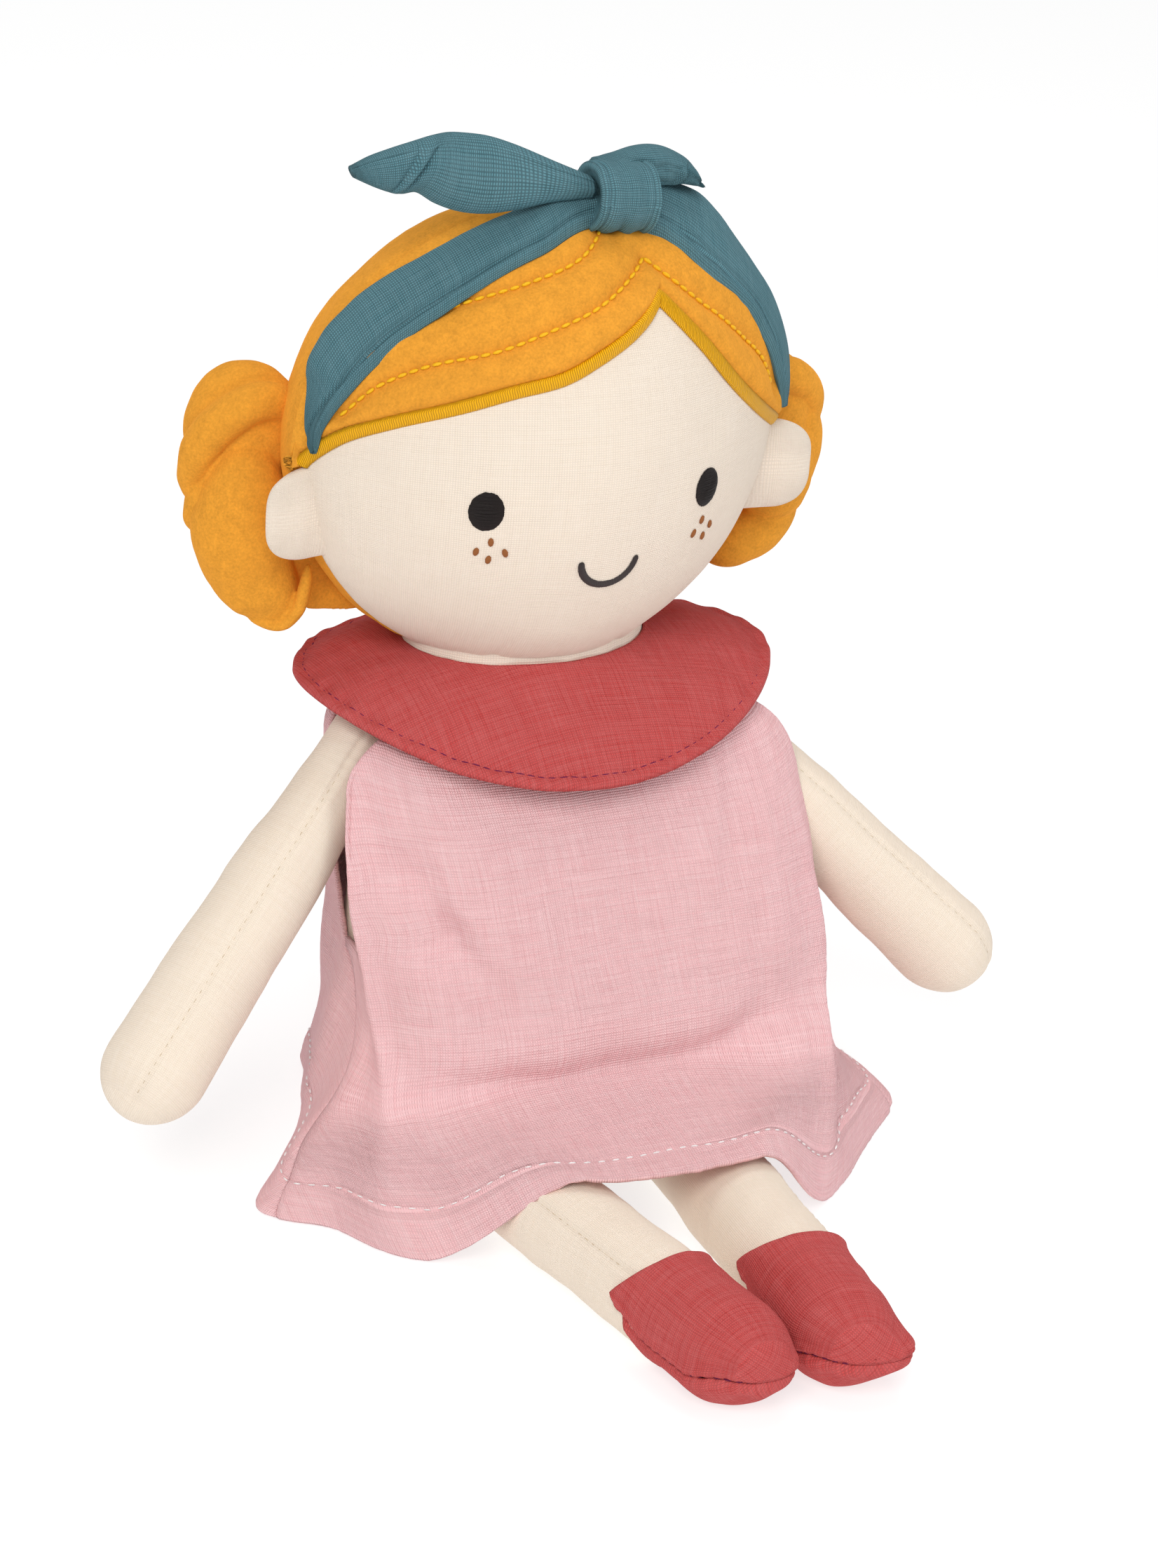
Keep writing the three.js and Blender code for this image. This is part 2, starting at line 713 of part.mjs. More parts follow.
// Neck: a short sleeve of linen round its stuffing
function neckSolid(inset, low, high) {
  const tube = new THREE.CylinderGeometry(1, 1, 1, torsoAround);
  tube.rotateX(Math.PI / 2);
  const place = (unit) => new THREE.Vector3(
    headAside + (neckHalfWidth - inset) * unit.x,
    neckBehind + (neckHalfDepth - inset) * unit.y,
    unit.z > 0 ? high : low,
  );
  return solidOf(formed(tube, place));
}

const neckCover = neckSolid(0, neckFoot + gap, neckLevel - gap).subtract(
  neckSolid(linen, neckFoot - overrun, neckLevel + overrun),
);
const neckStuffing = neckSolid(linen + gap, neckFoot + gap, neckLevel - gap);

// Shoes
// A slanted cutter that keeps what lies beyond the shoe's edge, or what lies before it
function shoeEdge(limb, shift) {
  const long = legLength + overrun;
  const slab = new THREE.BoxGeometry(long, long, long);
  slab.translate(0, long / 2, 0);
  const side = new THREE.Vector3().crossVectors(limb.direction, up);
  const place = (corner) => {
    const along = corner.y + shoeSideStart + shift + shoeSlant * corner.z;
    return limb.pivot.clone()
      .addScaledVector(limb.direction, along)
      .addScaledVector(side, corner.x)
      .addScaledVector(up, corner.z);
  };
  return solidOf(formed(slab, place));
}

function shoePieces(limb) {
  const cloth = linen + shoeProud;
  const shell = limbSolid(limb, -shoeProud, 0).subtract(limbSolid(limb, linen, linen));
  const whole = shell.intersect(shoeEdge(limb, gap));
  const low = new THREE.Vector3(-farReach, -farReach, -cloth);
  const seam = new THREE.Vector3(farReach, farReach, soleSeam - gap / 2);
  const sole = whole.intersect(block(low, seam));
  const upper = whole.subtract(block(low, new THREE.Vector3(farReach, farReach, soleSeam + gap / 2)));
  return { upper, sole };
}

// Dress
// Half the hem as a curve from the front to the back, and the same turn round the other rings
const halfHem = (spreadShares) => new THREE.CatmullRomCurve3(
  spreadShares.map((spread, i) => new THREE.Vector3(
    hemHalfWidth * spread,
    (hemReachShares[i] < 0 ? hemAhead : hemBack) * hemReachShares[i],
    Math.PI * turnShares[i],
  )),
);
const leftHem = halfHem(leftSpreadShares);
const rightHem = halfHem(rightSpreadShares);
const hemAt = (share) => (share < 0.5 ? leftHem : rightHem).getPoint(2 * Math.min(share, 1 - share));

function hemPoint(share) {
  const side = share < 0.5 ? left : right;
  const half = hemAt(share);
  const flute = Math.cos(hemFlutes * half.z * 2) * hemFluteDepth * ease(half.z * 2 / Math.PI - 0.5);
  const grown = 1 + flute / hemHalfWidth;
  const x = side * half.x;
  const away = Math.abs(hemAside + x - legsMiddle);
  const lift = half.y < 0 ? 1 - ease((away - hemLiftStart) / (hemLiftEnd - hemLiftStart)) : 0;
  return new THREE.Vector3(hemAside + x * grown, half.y * grown, hemClear + hemLift * lift);
}

function ringPoint(ring, share) {
  const side = share < 0.5 ? left : right;
  const turn = hemAt(share).z;
  const ahead = Math.cos(turn);
  const reach = ahead > 0 ? ring.ahead : ring.back;
  const level = ahead > 0 ? ring.front : ring.rear;
  return new THREE.Vector3(
    ring.aside + side * ring.half * Math.abs(Math.sin(turn)) ** (2 / ringSquareness),
    ring.behind - reach * signedPower(ahead, 2 / ringSquareness),
    mix(ring.side, level, ahead * ahead),
  );
}

// A point of the dress, from its share round the doll and its share down from the neckline
function dressPoint(round, down) {
  const share = ((round % 1) + 1) % 1;
  const rings = [necklineRing, yokeRing, chestRing, waistRing, lapRing];
  const points = [...rings.map((ring) => ringPoint(ring, share)), hemPoint(share)];
  return new THREE.CatmullRomCurve3(points, false, "centripetal").getPoint(down);
}

// The armhole cuts both panels back between the shoulder and the side seam's foot
function armhole(down) {
  const share = down / armholeFootShare;
  return share > 0 && share < 1 ? Math.sin(Math.PI * share) ** armholeRoundness : 0;
}

const seamAt = (down) => down < armholeFootShare
  ? mix(sideSeamTopShare, sideSeamWaistShare, down / armholeFootShare)
  : mix(sideSeamWaistShare, sideSeamHemShare, (down - armholeFootShare) / (1 - armholeFootShare));
const seamGapShare = gap / necklineRing.half / 4;

function dressPanel(startAt, endAt) {
  const sheet = new THREE.BoxGeometry(1, 1, 1, dressAcross, dressDown, 1);
  const place = (unit) => {
    const down = 0.5 - unit.y;
    const round = mix(startAt(down), endAt(down), unit.x + 0.5);
    const here = dressPoint(round, down);
    const low = Math.max(down - slopeShare, 0);
    const high = Math.min(down + slopeShare, 1);
    const along = dressPoint(round, high).sub(dressPoint(round, low));
    const across = dressPoint(round + slopeShare, down).sub(dressPoint(round - slopeShare, down));
    const outward = new THREE.Vector3().crossVectors(along, across).normalize();
    return here.addScaledVector(outward, (unit.z + 0.5) * dressCloth);
  };
  return solidOf(formed(sheet, place));
}

const frontEdge = (down) => seamAt(down) - seamGapShare - armholeFrontShare * armhole(down);
const backEdge = (down) => seamAt(down) + seamGapShare + armholeBackShare * armhole(down);
const dressFront = dressPanel((down) => -frontEdge(down), frontEdge);
const dressBack = dressPanel(backEdge, (down) => 1 - backEdge(down));

// Collar: a round cape that lies on the shoulders
function collar() {
  const steps = Array.from({ length: collarSteps + 1 }, (_, i) => 1 + i / collarSteps);
  const outer = steps.map((radius) => new THREE.Vector2(radius, 1));
  const inner = outer.map((point) => new THREE.Vector2(point.x, 0)).reverse();
  const loop = [...outer, ...inner, outer[0].clone()];
  const ring = new THREE.LatheGeometry(loop, collarAround);
  ring.rotateX(Math.PI / 2);
  const place = (unit) => {
    const share = Math.hypot(unit.x, unit.y) - 1;
    const turn = Math.atan2(unit.x, -unit.y);
    const ahead = Math.cos(turn);
    const reach = ahead > 0 ? collarReach : collarBack;
    const level = mix(collarSideHeight, ahead > 0 ? collarFrontHeight : collarBackHeight, ahead * ahead);
    const aside = mix(headAside, collarAside, share);
    const x = aside + mix(collarInnerHalf, collarHalfWidth, share) * Math.sin(turn);
    const y = neckBehind - mix(collarInnerDepth, reach, share) * ahead;
    const bow = collarCrown * Math.sin(Math.PI * share);
    return new THREE.Vector3(x, y, mix(collarInnerHeight, level, share) + bow + collarCloth * unit.z);
  };
  return solidOf(formed(ring, place));
}

// Colours of the cloths
const colours = {
  linenSkin: { color: 0xf3e3d3, roughness: 0.92 },
  stuffing: { color: 0xf4f2ee, roughness: 1 },
  hairFelt: { color: 0xd9912f, roughness: 0.97 },
  satinGold: { color: 0xe0a01c, roughness: 0.55 },
  tealLinen: { color: 0x4b717b, roughness: 0.9 },
  pinkLinen: { color: 0xe79dab, roughness: 0.9 },
  redLinen: { color: 0xb34c4f, roughness: 0.9 },
  blackThread: { color: 0x1d1a1a, roughness: 0.7 },
};

function piece(name, solid, finish) {
  const material = new THREE.MeshStandardMaterial({ ...colours[finish], metalness: 0 });
  const mesh = new THREE.Mesh(geometryOf(solid), material);
  mesh.name = name;
  return mesh;
}

function headGroup() {
  const group = new THREE.Group();
  group.add(
    piece("face_panel", facePanel, "linenSkin"),
    piece("hair_front_panel", hairFront, "hairFelt"),
    piece("hair_back_panel", hairBack, "hairFelt"),
    piece("hairline_border", hairlineBorder, "satinGold"),
    piece("head_stuffing", headStuffing, "stuffing"),
    piece("mouth_embroidery", mouth(), "blackThread"),
    piece("headband", headband(), "tealLinen"),
    piece("bow_knot", bowKnot, "tealLinen"),
    piece("bow_long_end", longEnd(), "tealLinen"),
    piece("bow_short_end", shortEnd(), "tealLinen"),
  );
  for (const [name, side] of [["right", right], ["left", left]]) {
    group.add(
      piece("eye_" + name, eye(side), "blackThread"),
      piece("ear_" + name, ear(side), "linenSkin"),
      piece("hair_bun_" + name, bun(side, 0), "hairFelt"),
    );
  }
  return group;
}

function bodyGroup() {
  const group = new THREE.Group();
  group.add(
    piece("torso_cover", torsoCover, "linenSkin"),
    piece("torso_stuffing", torsoStuffing, "stuffing"),
    piece("neck_cover", neckCover, "linenSkin"),
    piece("neck_stuffing", neckStuffing, "stuffing"),
    piece("dress_front", dressFront, "pinkLinen"),
    piece("dress_back", dressBack, "pinkLinen"),
    piece("collar", collar(), "redLinen"),
  );
  return group;
}

function limbGroup(name) {
  const group = new THREE.Group();
  const beforeShoe = limbCover(legs[name]).subtract(shoeEdge(legs[name], 0));
  const shoe = shoePieces(legs[name]);
  group.add(
    piece("arm_cover_" + name, limbCover(arms[name]), "linenSkin"),
    piece("arm_stuffing_" + name, limbStuffing(arms[name]), "stuffing"),
    piece("leg_cover_" + name, beforeShoe, "linenSkin"),
    piece("leg_stuffing_" + name, limbStuffing(legs[name]), "stuffing"),
    piece("shoe_upper_" + name, shoe.upper, "redLinen"),
    piece("shoe_sole_" + name, shoe.sole, "redLinen"),
  );
  return group;
}

const doll = new THREE.Group();
doll.add(bodyGroup(), headGroup(), limbGroup("right"), limbGroup("left"));

export default doll;
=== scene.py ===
"""A stuffed linen doll that sits with its legs stretched out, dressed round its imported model.

Every size is in millimetres, in the row frame: +Z up, the doll faces -Y, and +X is its left.
Each mesh is scaled to metres when it is made.
"""

import sys
import functools
import logging
import math
from dataclasses import dataclass, field
from enum import Enum
from typing import Callable, Sequence

import bmesh
import bpy
from mathutils import Matrix, Vector, noise


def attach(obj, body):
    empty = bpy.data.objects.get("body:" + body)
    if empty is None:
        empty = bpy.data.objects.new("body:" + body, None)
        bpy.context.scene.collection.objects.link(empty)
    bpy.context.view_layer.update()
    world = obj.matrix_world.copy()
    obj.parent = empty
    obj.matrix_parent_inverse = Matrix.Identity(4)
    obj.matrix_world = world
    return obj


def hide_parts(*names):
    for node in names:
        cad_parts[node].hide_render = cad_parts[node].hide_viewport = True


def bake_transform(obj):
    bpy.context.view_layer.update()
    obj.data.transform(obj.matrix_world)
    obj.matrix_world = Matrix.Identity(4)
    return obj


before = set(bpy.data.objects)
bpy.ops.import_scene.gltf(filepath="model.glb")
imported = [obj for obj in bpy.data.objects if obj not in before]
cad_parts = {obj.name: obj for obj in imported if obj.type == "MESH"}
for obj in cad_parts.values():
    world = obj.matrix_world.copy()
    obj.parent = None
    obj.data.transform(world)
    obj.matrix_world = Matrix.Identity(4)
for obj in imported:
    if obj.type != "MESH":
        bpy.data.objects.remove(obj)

LOG = logging.getLogger("doll")
MM = 0.001
UP = Vector((0, 0, 1))
CLOTH_MAP = "cloth"

Place = Callable[[float, float], Vector]
Place3 = Callable[[Vector], Vector]
Flat = tuple[float, float]
Rows = Sequence[Flat]
Pairs = tuple[Flat, ...]
Colour = tuple[float, float, float]
NODE_SETTINGS = ("operation", "uv_map")


class Side(Enum):
    """A side of the doll, with the sign of its X."""

    RIGHT = -1
    LEFT = 1

    @property
    def label(self) -> str:
        """The side's name as the nodes spell it."""
        return self.name.lower()


# Small maths


def mix(low: float, high: float, share: float) -> float:
    """Blends two numbers by a share from 0 to 1."""
    return low + (high - low) * share


def clamp(value: float, low: float = 0.0, high: float = 1.0) -> float:
    """Keeps a number between two others."""
    return max(low, min(high, value))


def ease(share: float) -> float:
    """A smooth step from 0 to 1."""
    held = clamp(share)
    return held * held * (3 - 2 * held)


def bell(distance: float, width: float) -> float:
    """A bell curve that is 1 at no distance."""
    return math.exp(-((distance / width) ** 2))


def signed_power(value: float, power: float) -> float:
    """A power that keeps the number's sign."""
    return math.copysign(abs(value) ** power, value)


def table(rows: Rows, at: float) -> float:
    """Looks a number up between the rows of a table.

    Args:
        rows: Pairs of place and value, in rising order of place.
        at: The place to look up.

    Returns:
        The value there, eased between the two nearest rows.
    """
    if at <= rows[0][0]:
        return rows[0][1]
    for (low, first), (high, second) in zip(rows, rows[1:]):
        if at <= high:
            return mix(first, second, ease((at - low) / (high - low)))
    return rows[-1][1]


def curve(rows: Rows, at: float) -> float:
    """Looks a number up on a smooth line through the rows of a table.

    Args:
        rows: Pairs of place and value, in rising order of place.
        at: The place to look up.

    Returns:
        The value there.
    """
    last = len(rows) - 1
    index = next((i for i in range(last) if at <= rows[i + 1][0]), last - 1)
    (x0, y0), (x1, y1) = rows[max(index - 1, 0)], rows[index]
    (x2, y2), (x3, y3) = rows[index + 1], rows[min(index + 2, last)]
    span = x2 - x1
    before, after = (y2 - y0) / (x2 - x0) * span, (y3 - y1) / (x3 - x1) * span
    t = clamp((at - x1) / span)
    rest = (2 * t**3 - 3 * t**2 + 1) * y1 + (3 * t**2 - 2 * t**3) * y2
    return rest + (t**3 - 2 * t**2 + t) * before + (t**3 - t**2) * after


def wobble(point: Vector, scale: float, seed: float = 0.0) -> float:
    """Soft noise from -1 to 1 at a point, with bumps of about the given size."""
    return noise.noise(point / scale + Vector((seed, seed * 1.7, -seed)))


@dataclass(frozen=True)
class Spline:
    """A smooth curve through points, read by a share that counts the points evenly."""

    points: tuple[Vector, ...]

    def at(self, share: float) -> Vector:
        """The point at a share from 0 to 1.

        Args:
            share: The share, held between 0 and 1.

        Returns:
            The point.
        """
        last = len(self.points) - 1
        place = clamp(share) * last
        index = min(int(place), last - 1)
        weight = place - index
        p1, p2 = self.points[index], self.points[index + 1]
        p0 = self.points[index - 1] if index > 0 else p1 * 2 - p2
        p3 = self.points[index + 2] if index + 2 <= last else p2 * 2 - p1
        d1 = max((p2 - p1).length ** 0.5, 1e-4)
        d0 = max((p1 - p0).length ** 0.5, 1e-4)
        d2 = max((p3 - p2).length ** 0.5, 1e-4)
        start = ((p1 - p0) / d0 - (p2 - p0) / (d0 + d1) + (p2 - p1) / d1) * d1
        end = ((p2 - p1) / d1 - (p3 - p1) / (d1 + d2) + (p3 - p2) / d2) * d1
        bend = p2 * 3 - p1 * 3 - start * 2 - end
        twist = p1 * 2 - p2 * 2 + start + end
        return p1 + start * weight + bend * weight**2 + twist * weight**3

    def even(self, count: int) -> list[Vector]:
        """Points along the curve with equal lengths between them.

        Args:
            count: How many lengths there are.

        Returns:
            The points, one more than the lengths.
        """
        fine = [self.at(i / (count * 8)) for i in range(count * 8 + 1)]
        reach = [0.0]
        for a, b in zip(fine, fine[1:]):
            reach.append(reach[-1] + (b - a).length)
        picked, index = [], 0
        for step in range(count + 1):
            target = reach[-1] * step / count
            while index < len(reach) - 2 and reach[index + 1] < target:
                index += 1
            span = max(reach[index + 1] - reach[index], 1e-9)
            picked.append(fine[index].lerp(fine[index + 1], clamp((target - reach[index]) / span)))
        return picked


def spline_of(rows: Sequence[Sequence[float]]) -> Spline:
    """A spline through rows of numbers."""
    return Spline(tuple(Vector(row) for row in rows))


# Finishes


@dataclass
class Nodes:
    """Adds shader nodes to one material and links them by name."""

    tree: bpy.types.NodeTree

    def add(self, kind: str, **inputs: object) -> bpy.types.Node:
        """Adds a node.

        Args:
            kind: The node's type, without its ShaderNode prefix.
            inputs: Socket names with a value or another node's output, "_0" for the first
                socket, and the properties named in NODE_SETTINGS.

        Returns:
            The new node.
        """
        node = self.tree.nodes.new("ShaderNode" + kind)
        for name in [name for name in NODE_SETTINGS if name in inputs]:
            setattr(node, name, inputs.pop(name))
        for name, value in inputs.items():
            self.feed(node.inputs[int(name[1:]) if name[0] == "_" else name.replace("_", " ")], value)
        return node

    def feed(self, socket: bpy.types.NodeSocket, value: object) -> None:
        """Links an output to a socket, or sets the socket's own value.

        Args:
            socket: The socket.
            value: A value, or another node's output.
        """
        if isinstance(value, bpy.types.NodeSocket):
            self.tree.links.new(value, socket)
        else:
            socket.default_value = value

    def math(self, operation: str, first: object, second: object = 0.0) -> bpy.types.NodeSocket:
        """A sum of two numbers or outputs."""
        return self.add("Math", operation=operation, _0=first, _1=second).outputs[0]

    def ramp(self, value: object, start: float, slope: float) -> bpy.types.NodeSocket:
        """How far a value lies past a start, times a slope."""
        return self.math("MULTIPLY", self.math("SUBTRACT", value, start), slope)

    def ridges(self, place: object, pitch: float) -> bpy.types.NodeSocket:
        """Rounded ridges of height 1, at a pitch in millimetres."""
        turns = self.math("MULTIPLY", place, math.pi / (pitch * MM))
        return self.math("ABSOLUTE", self.math("SINE", turns))

    def noise(self, vector: object, scale: float, detail: float = 2.0) -> bpy.types.NodeSocket:
        """Noise from 0 to 1."""
        node = self.add("TexNoise", Vector=vector, Scale=scale, Detail=detail, Roughness=0.6)
        return node.outputs["Fac"] if "Fac" in node.outputs else node.outputs[0]

    def stretched(self, vector: object, scale: Sequence[float]) -> bpy.types.NodeSocket:
        """A vector scaled along each axis."""
        return self.add("Mapping", Vector=vector, Scale=tuple(scale)).outputs[0]

    def blend(self, share: object, low: object, high: object) -> bpy.types.NodeSocket:
        """A colour between two others, each a colour or an output.

        Args:
            share: From 0 for the first to 1 for the second.
            low: The first colour.
            high: The second.

        Returns:
            The output that gives the colour.
        """
        node = self.tree.nodes.new("ShaderNodeMix")
        node.data_type = "RGBA"
        node.clamp_factor = True
        self.feed(node.inputs[0], share)
        for place, value in ((6, low), (7, high)):
            self.feed(node.inputs[place], value if isinstance(value, bpy.types.NodeSocket) else (*value, 1.0))
        return node.outputs[2]


def linear(colour: Colour) -> Colour:
    """An sRGB colour of 0 to 255 as a linear one of 0 to 1."""
    shares = (value / 255 for value in colour)
    return tuple(s / 12.92 if s <= 0.04045 else ((s + 0.055) / 1.055) ** 2.4 for s in shares)


def tinted(colour: Colour, factor: float) -> Colour:
    """A linear colour made darker or lighter."""
    return tuple(min(value * factor, 1.0) for value in colour)


@dataclass(frozen=True)
class Finish:
    """What every cloth and thread of the doll shares."""

    name: str
    colour: Colour
    roughness: float = 0.9
    sheen: float = 0.2
    relief: float = 0.12
    shine: float = 0.2

    def nodes(self) -> tuple[bpy.types.Material, Nodes, bpy.types.Node]:
        """Starts a material with an empty shader.

        Returns:
            The material, the helper that adds its nodes, and its shader.
        """
        material = bpy.data.materials.new(self.name)
        material.use_nodes = True
        material.node_tree.nodes.clear()
        helper = Nodes(material.node_tree)
        shader = helper.add(
            "BsdfPrincipled",
            Roughness=self.roughness,
            Sheen_Weight=self.sheen,
            Sheen_Roughness=0.5,
            Sheen_Tint=(*linear(self.colour), 1.0),
            Specular_IOR_Level=self.shine,
        )
        helper.add("OutputMaterial", Surface=shader.outputs[0])
        return material, helper, shader

    def paint(self, nodes: Nodes, shader: bpy.types.Node, colour: object, height: object) -> None:
        """Gives the shader a colour and a bump.

        Args:
            nodes: The helper that adds the material's nodes.
            shader: The material's shader.
            colour: The output that gives the colour.
            height: The output that gives the bump's height, of about 0 to 1.
        """
        nodes.feed(shader.inputs["Base Color"], colour)
        bump = nodes.add("Bump", Height=height, Strength=1.0, Distance=self.relief * MM)
        nodes.feed(shader.inputs["Normal"], bump.outputs[0])

    def material(self) -> bpy.types.Material:
        """Makes the material."""
        raise NotImplementedError


@dataclass(frozen=True)
class Linen(Finish):
    """Plain-weave linen, with uneven threads, painted shade in the gaps between the threads and a painted highlight
    on their crowns.
    """

    pitch: float = 0.62
    # How dark the painted shade in the gaps between threads is, as a share of the colour.
    gap_painted_shade: float = 0.80
    slub: float = 0.5
    mottle: float = 0.3
    pale: float = 0.12

    def material(self) -> bpy.types.Material:
        """Makes the woven material, which follows the piece's cloth map.

        Returns:
            The material.
        """
        material, nodes, shader = self.nodes()
        cloth = nodes.add("UVMap", uv_map=CLOTH_MAP).outputs[0]
        drift = nodes.add("TexNoise", Vector=cloth, Scale=90.0, Detail=1.0).outputs["Color"]
        moved = nodes.add("VectorMath", operation="SUBTRACT", _0=drift, _1=(0.5, 0.5, 0.5)).outputs[0]
        small = nodes.add("VectorMath", operation="SCALE", _0=moved, Scale=0.9 * self.pitch * MM).outputs[0]
        place = nodes.add("VectorMath", operation="ADD", _0=cloth, _1=small).outputs[0]
        axes = nodes.add("SeparateXYZ", Vector=place).outputs
        warp, weft = nodes.ridges(axes[0], self.pitch), nodes.ridges(axes[1], self.pitch)
        crossing = nodes.math("MULTIPLY", warp, weft)
        along = nodes.noise(nodes.stretched(cloth, (60, 1500, 1)), 1.0, 2.0)
        down = nodes.noise(nodes.stretched(cloth, (1500, 60, 1)), 1.0, 2.0)
        slubs = nodes.math("ADD", along, down)
        fade = nodes.noise(cloth, 45.0, 3.0)
        base = linear(self.colour)
        # Painted shade darkens the gaps between threads and a painted highlight lightens their crowns.
        threads = nodes.blend(crossing, tinted(base, self.gap_painted_shade), tinted(base, 1.05))
        uneven = nodes.ramp(slubs, 0.62, 1.35 * self.slub + 0.2)
        paler = tuple(mix(value, 1.0, self.pale) for value in base)
        streaked = nodes.blend(uneven, threads, paler)
        worn = nodes.ramp(fade, 0.42, self.mottle)
        colour = nodes.blend(worn, streaked, tinted(base, 0.86))
        self.paint(nodes, shader, colour, nodes.math("ADD", crossing, nodes.math("MULTIPLY", slubs, 0.6)))
        return material


@dataclass(frozen=True)
class Felt(Finish):
    """Brushed wool felt, with a matted nap."""

    def material(self) -> bpy.types.Material:
        """Makes the felt from noise in the doll's own space.

        Returns:
            The material.
        """
        material, nodes, shader = self.nodes()
        place = nodes.add("TexCoord").outputs["Object"]
        nap = nodes.noise(place, 1500.0, 5.0)
        matted = nodes.noise(place, 330.0, 4.0)
        clouds = nodes.noise(place, 40.0, 3.0)
        base = linear(self.colour)
        fine = nodes.math("ADD", nodes.math("MULTIPLY", nap, 0.6), nodes.math("MULTIPLY", matted, 0.4))
        sharp = nodes.ramp(fine, 0.33, 2.6)
        fibres = nodes.blend(sharp, tinted(base, 0.74), tinted(base, 1.16))
        shade = nodes.ramp(clouds, 0.4, 0.8)
        colour = nodes.blend(shade, fibres, tinted(base, 0.88))
        self.paint(nodes, shader, colour, nodes.math("ADD", fine, nodes.math("MULTIPLY", matted, 0.8)))
        return material


@dataclass(frozen=True)
class Thread(Finish):
    """Embroidery thread, laid side by side across the piece's cloth map, with painted shade in the grooves between
    threads and a painted highlight on their crowns.
    """

    pitch: float = 0.4
    # How dark the painted shade in the grooves between threads is, as a share of the colour.
    gap_painted_shade: float = 0.62

    def material(self) -> bpy.types.Material:
        """Makes the laid threads, which follow the piece's cloth map.

        Returns:
            The material.
        """
        material, nodes, shader = self.nodes()
        cloth = nodes.add("UVMap", uv_map=CLOTH_MAP).outputs[0]
        axes = nodes.add("SeparateXYZ", Vector=cloth).outputs
        drift = nodes.math("MULTIPLY", nodes.noise(cloth, 700.0, 2.0), 0.5 * self.pitch * MM)
        ridge = nodes.ridges(nodes.math("ADD", axes[0], drift), self.pitch)
        fibre = nodes.noise(nodes.stretched(cloth, (6000, 500, 1)), 1.0, 2.0)
        tone = nodes.noise(nodes.stretched(cloth, (900, 40, 1)), 1.0, 1.0)
        base = linear(self.colour)
        # Painted shade darkens the grooves between threads and a painted highlight lightens their crowns.
        laid = nodes.blend(ridge, tinted(base, self.gap_painted_shade), tinted(base, 1.12))
        colour = nodes.blend(nodes.math("MULTIPLY", tone, 0.35), laid, tinted(base, 0.8))
        self.paint(nodes, shader, colour, nodes.math("ADD", ridge, nodes.math("MULTIPLY", fibre, 0.4)))
        return material


@dataclass(frozen=True)
class Stitch(Finish):
    """Sewing thread of single stitches."""

    def material(self) -> bpy.types.Material:
        """Makes the thread from fine noise in the doll's own space.

        Returns:
            The material.
        """
        material, nodes, shader = self.nodes()
        place = nodes.add("TexCoord").outputs["Object"]
        twist = nodes.noise(place, 2600.0, 3.0)
        base = linear(self.colour)
        colour = nodes.blend(twist, tinted(base, 0.72), tinted(base, 1.15))
        self.paint(nodes, shader, colour, twist)
        return material


SKIN = Linen("skin_linen", (239, 224, 207), gap_painted_shade=0.86, slub=0.2, mottle=0.12, relief=0.10, pale=0.3)
LIMB_SKIN = Linen(
    "limb_linen", (242, 226, 207), gap_painted_shade=0.88, slub=0.3, mottle=0.12, relief=0.08, pitch=0.5, pale=0.3
)
FELT = Felt("honey_felt", (231, 157, 52), roughness=0.97, sheen=0.6, relief=0.22)
TEAL = Linen("teal_linen", (95, 144, 156), sheen=0.08, gap_painted_shade=0.3, slub=0.15, mottle=0.3, relief=0.2)
PINK = Linen("pink_linen", (255, 194, 198), gap_painted_shade=0.8, slub=0.5, mottle=0.25, relief=0.26, pitch=0.66, pale=0.4)
RED = Linen("red_linen", (206, 74, 73), sheen=0.08, gap_painted_shade=0.62, slub=0.4, mottle=0.5, relief=0.16)
GOLD_SATIN = Thread(
    "gold_satin", (255, 180, 6), roughness=0.42, sheen=0.0, relief=0.24, shine=0.25, pitch=0.6, gap_painted_shade=0.66
)
BLACK_SATIN = Thread("black_satin", (34, 28, 27), roughness=0.55, sheen=0.15, relief=0.14, pitch=0.34)
GOLD_STITCH = Stitch("gold_stitch", (255, 190, 30), roughness=0.45, sheen=0.1)
CHARCOAL_SATIN = Thread("charcoal_satin", (70, 62, 62), roughness=0.6, sheen=0.15, relief=0.12, pitch=0.34)
BROWN_STITCH = Stitch("brown_stitch", (150, 92, 50), roughness=0.7, sheen=0.1)
PURPLE_STITCH = Stitch("purple_stitch", (112, 30, 74), roughness=0.7, sheen=0.1)
WHITE_STITCH = Stitch("white_stitch", (255, 240, 240), roughness=0.7, sheen=0.1)
SKIN_STITCH = Stitch("skin_stitch", (214, 196, 172), roughness=0.8, sheen=0.1)


@functools.lru_cache(maxsize=None)
def dress_material(finish: Finish) -> bpy.types.Material:
    """Makes each finish once."""
    return finish.material()


# Mesh makers


def placed(name: str, data: bpy.types.ID) -> bpy.types.Object:
    """Makes an object of some data and puts it in the scene.

    Args:
        name: The object's name.
        data: Its mesh, light or camera.

    Returns:
        The object.
    """
    thing = bpy.data.objects.new(name, data)
    bpy.context.scene.collection.objects.link(thing)
    return thing


def map_cloth(mesh: bmesh.types.BMesh, flat: Callable[[bmesh.types.BMVert], Flat]) -> None:
    """Makes the faces smooth and gives each corner its place on the cloth.

    Args:
        mesh: The mesh.
        flat: Gives the place on the cloth in millimetres for a vertex.
    """
    layer = mesh.loops.layers.uv.new(CLOTH_MAP)
    for face in mesh.faces:
        face.smooth = True
        for loop in face.loops:
            u, v = flat(loop.vert)
            loop[layer].uv = (u * MM, v * MM)


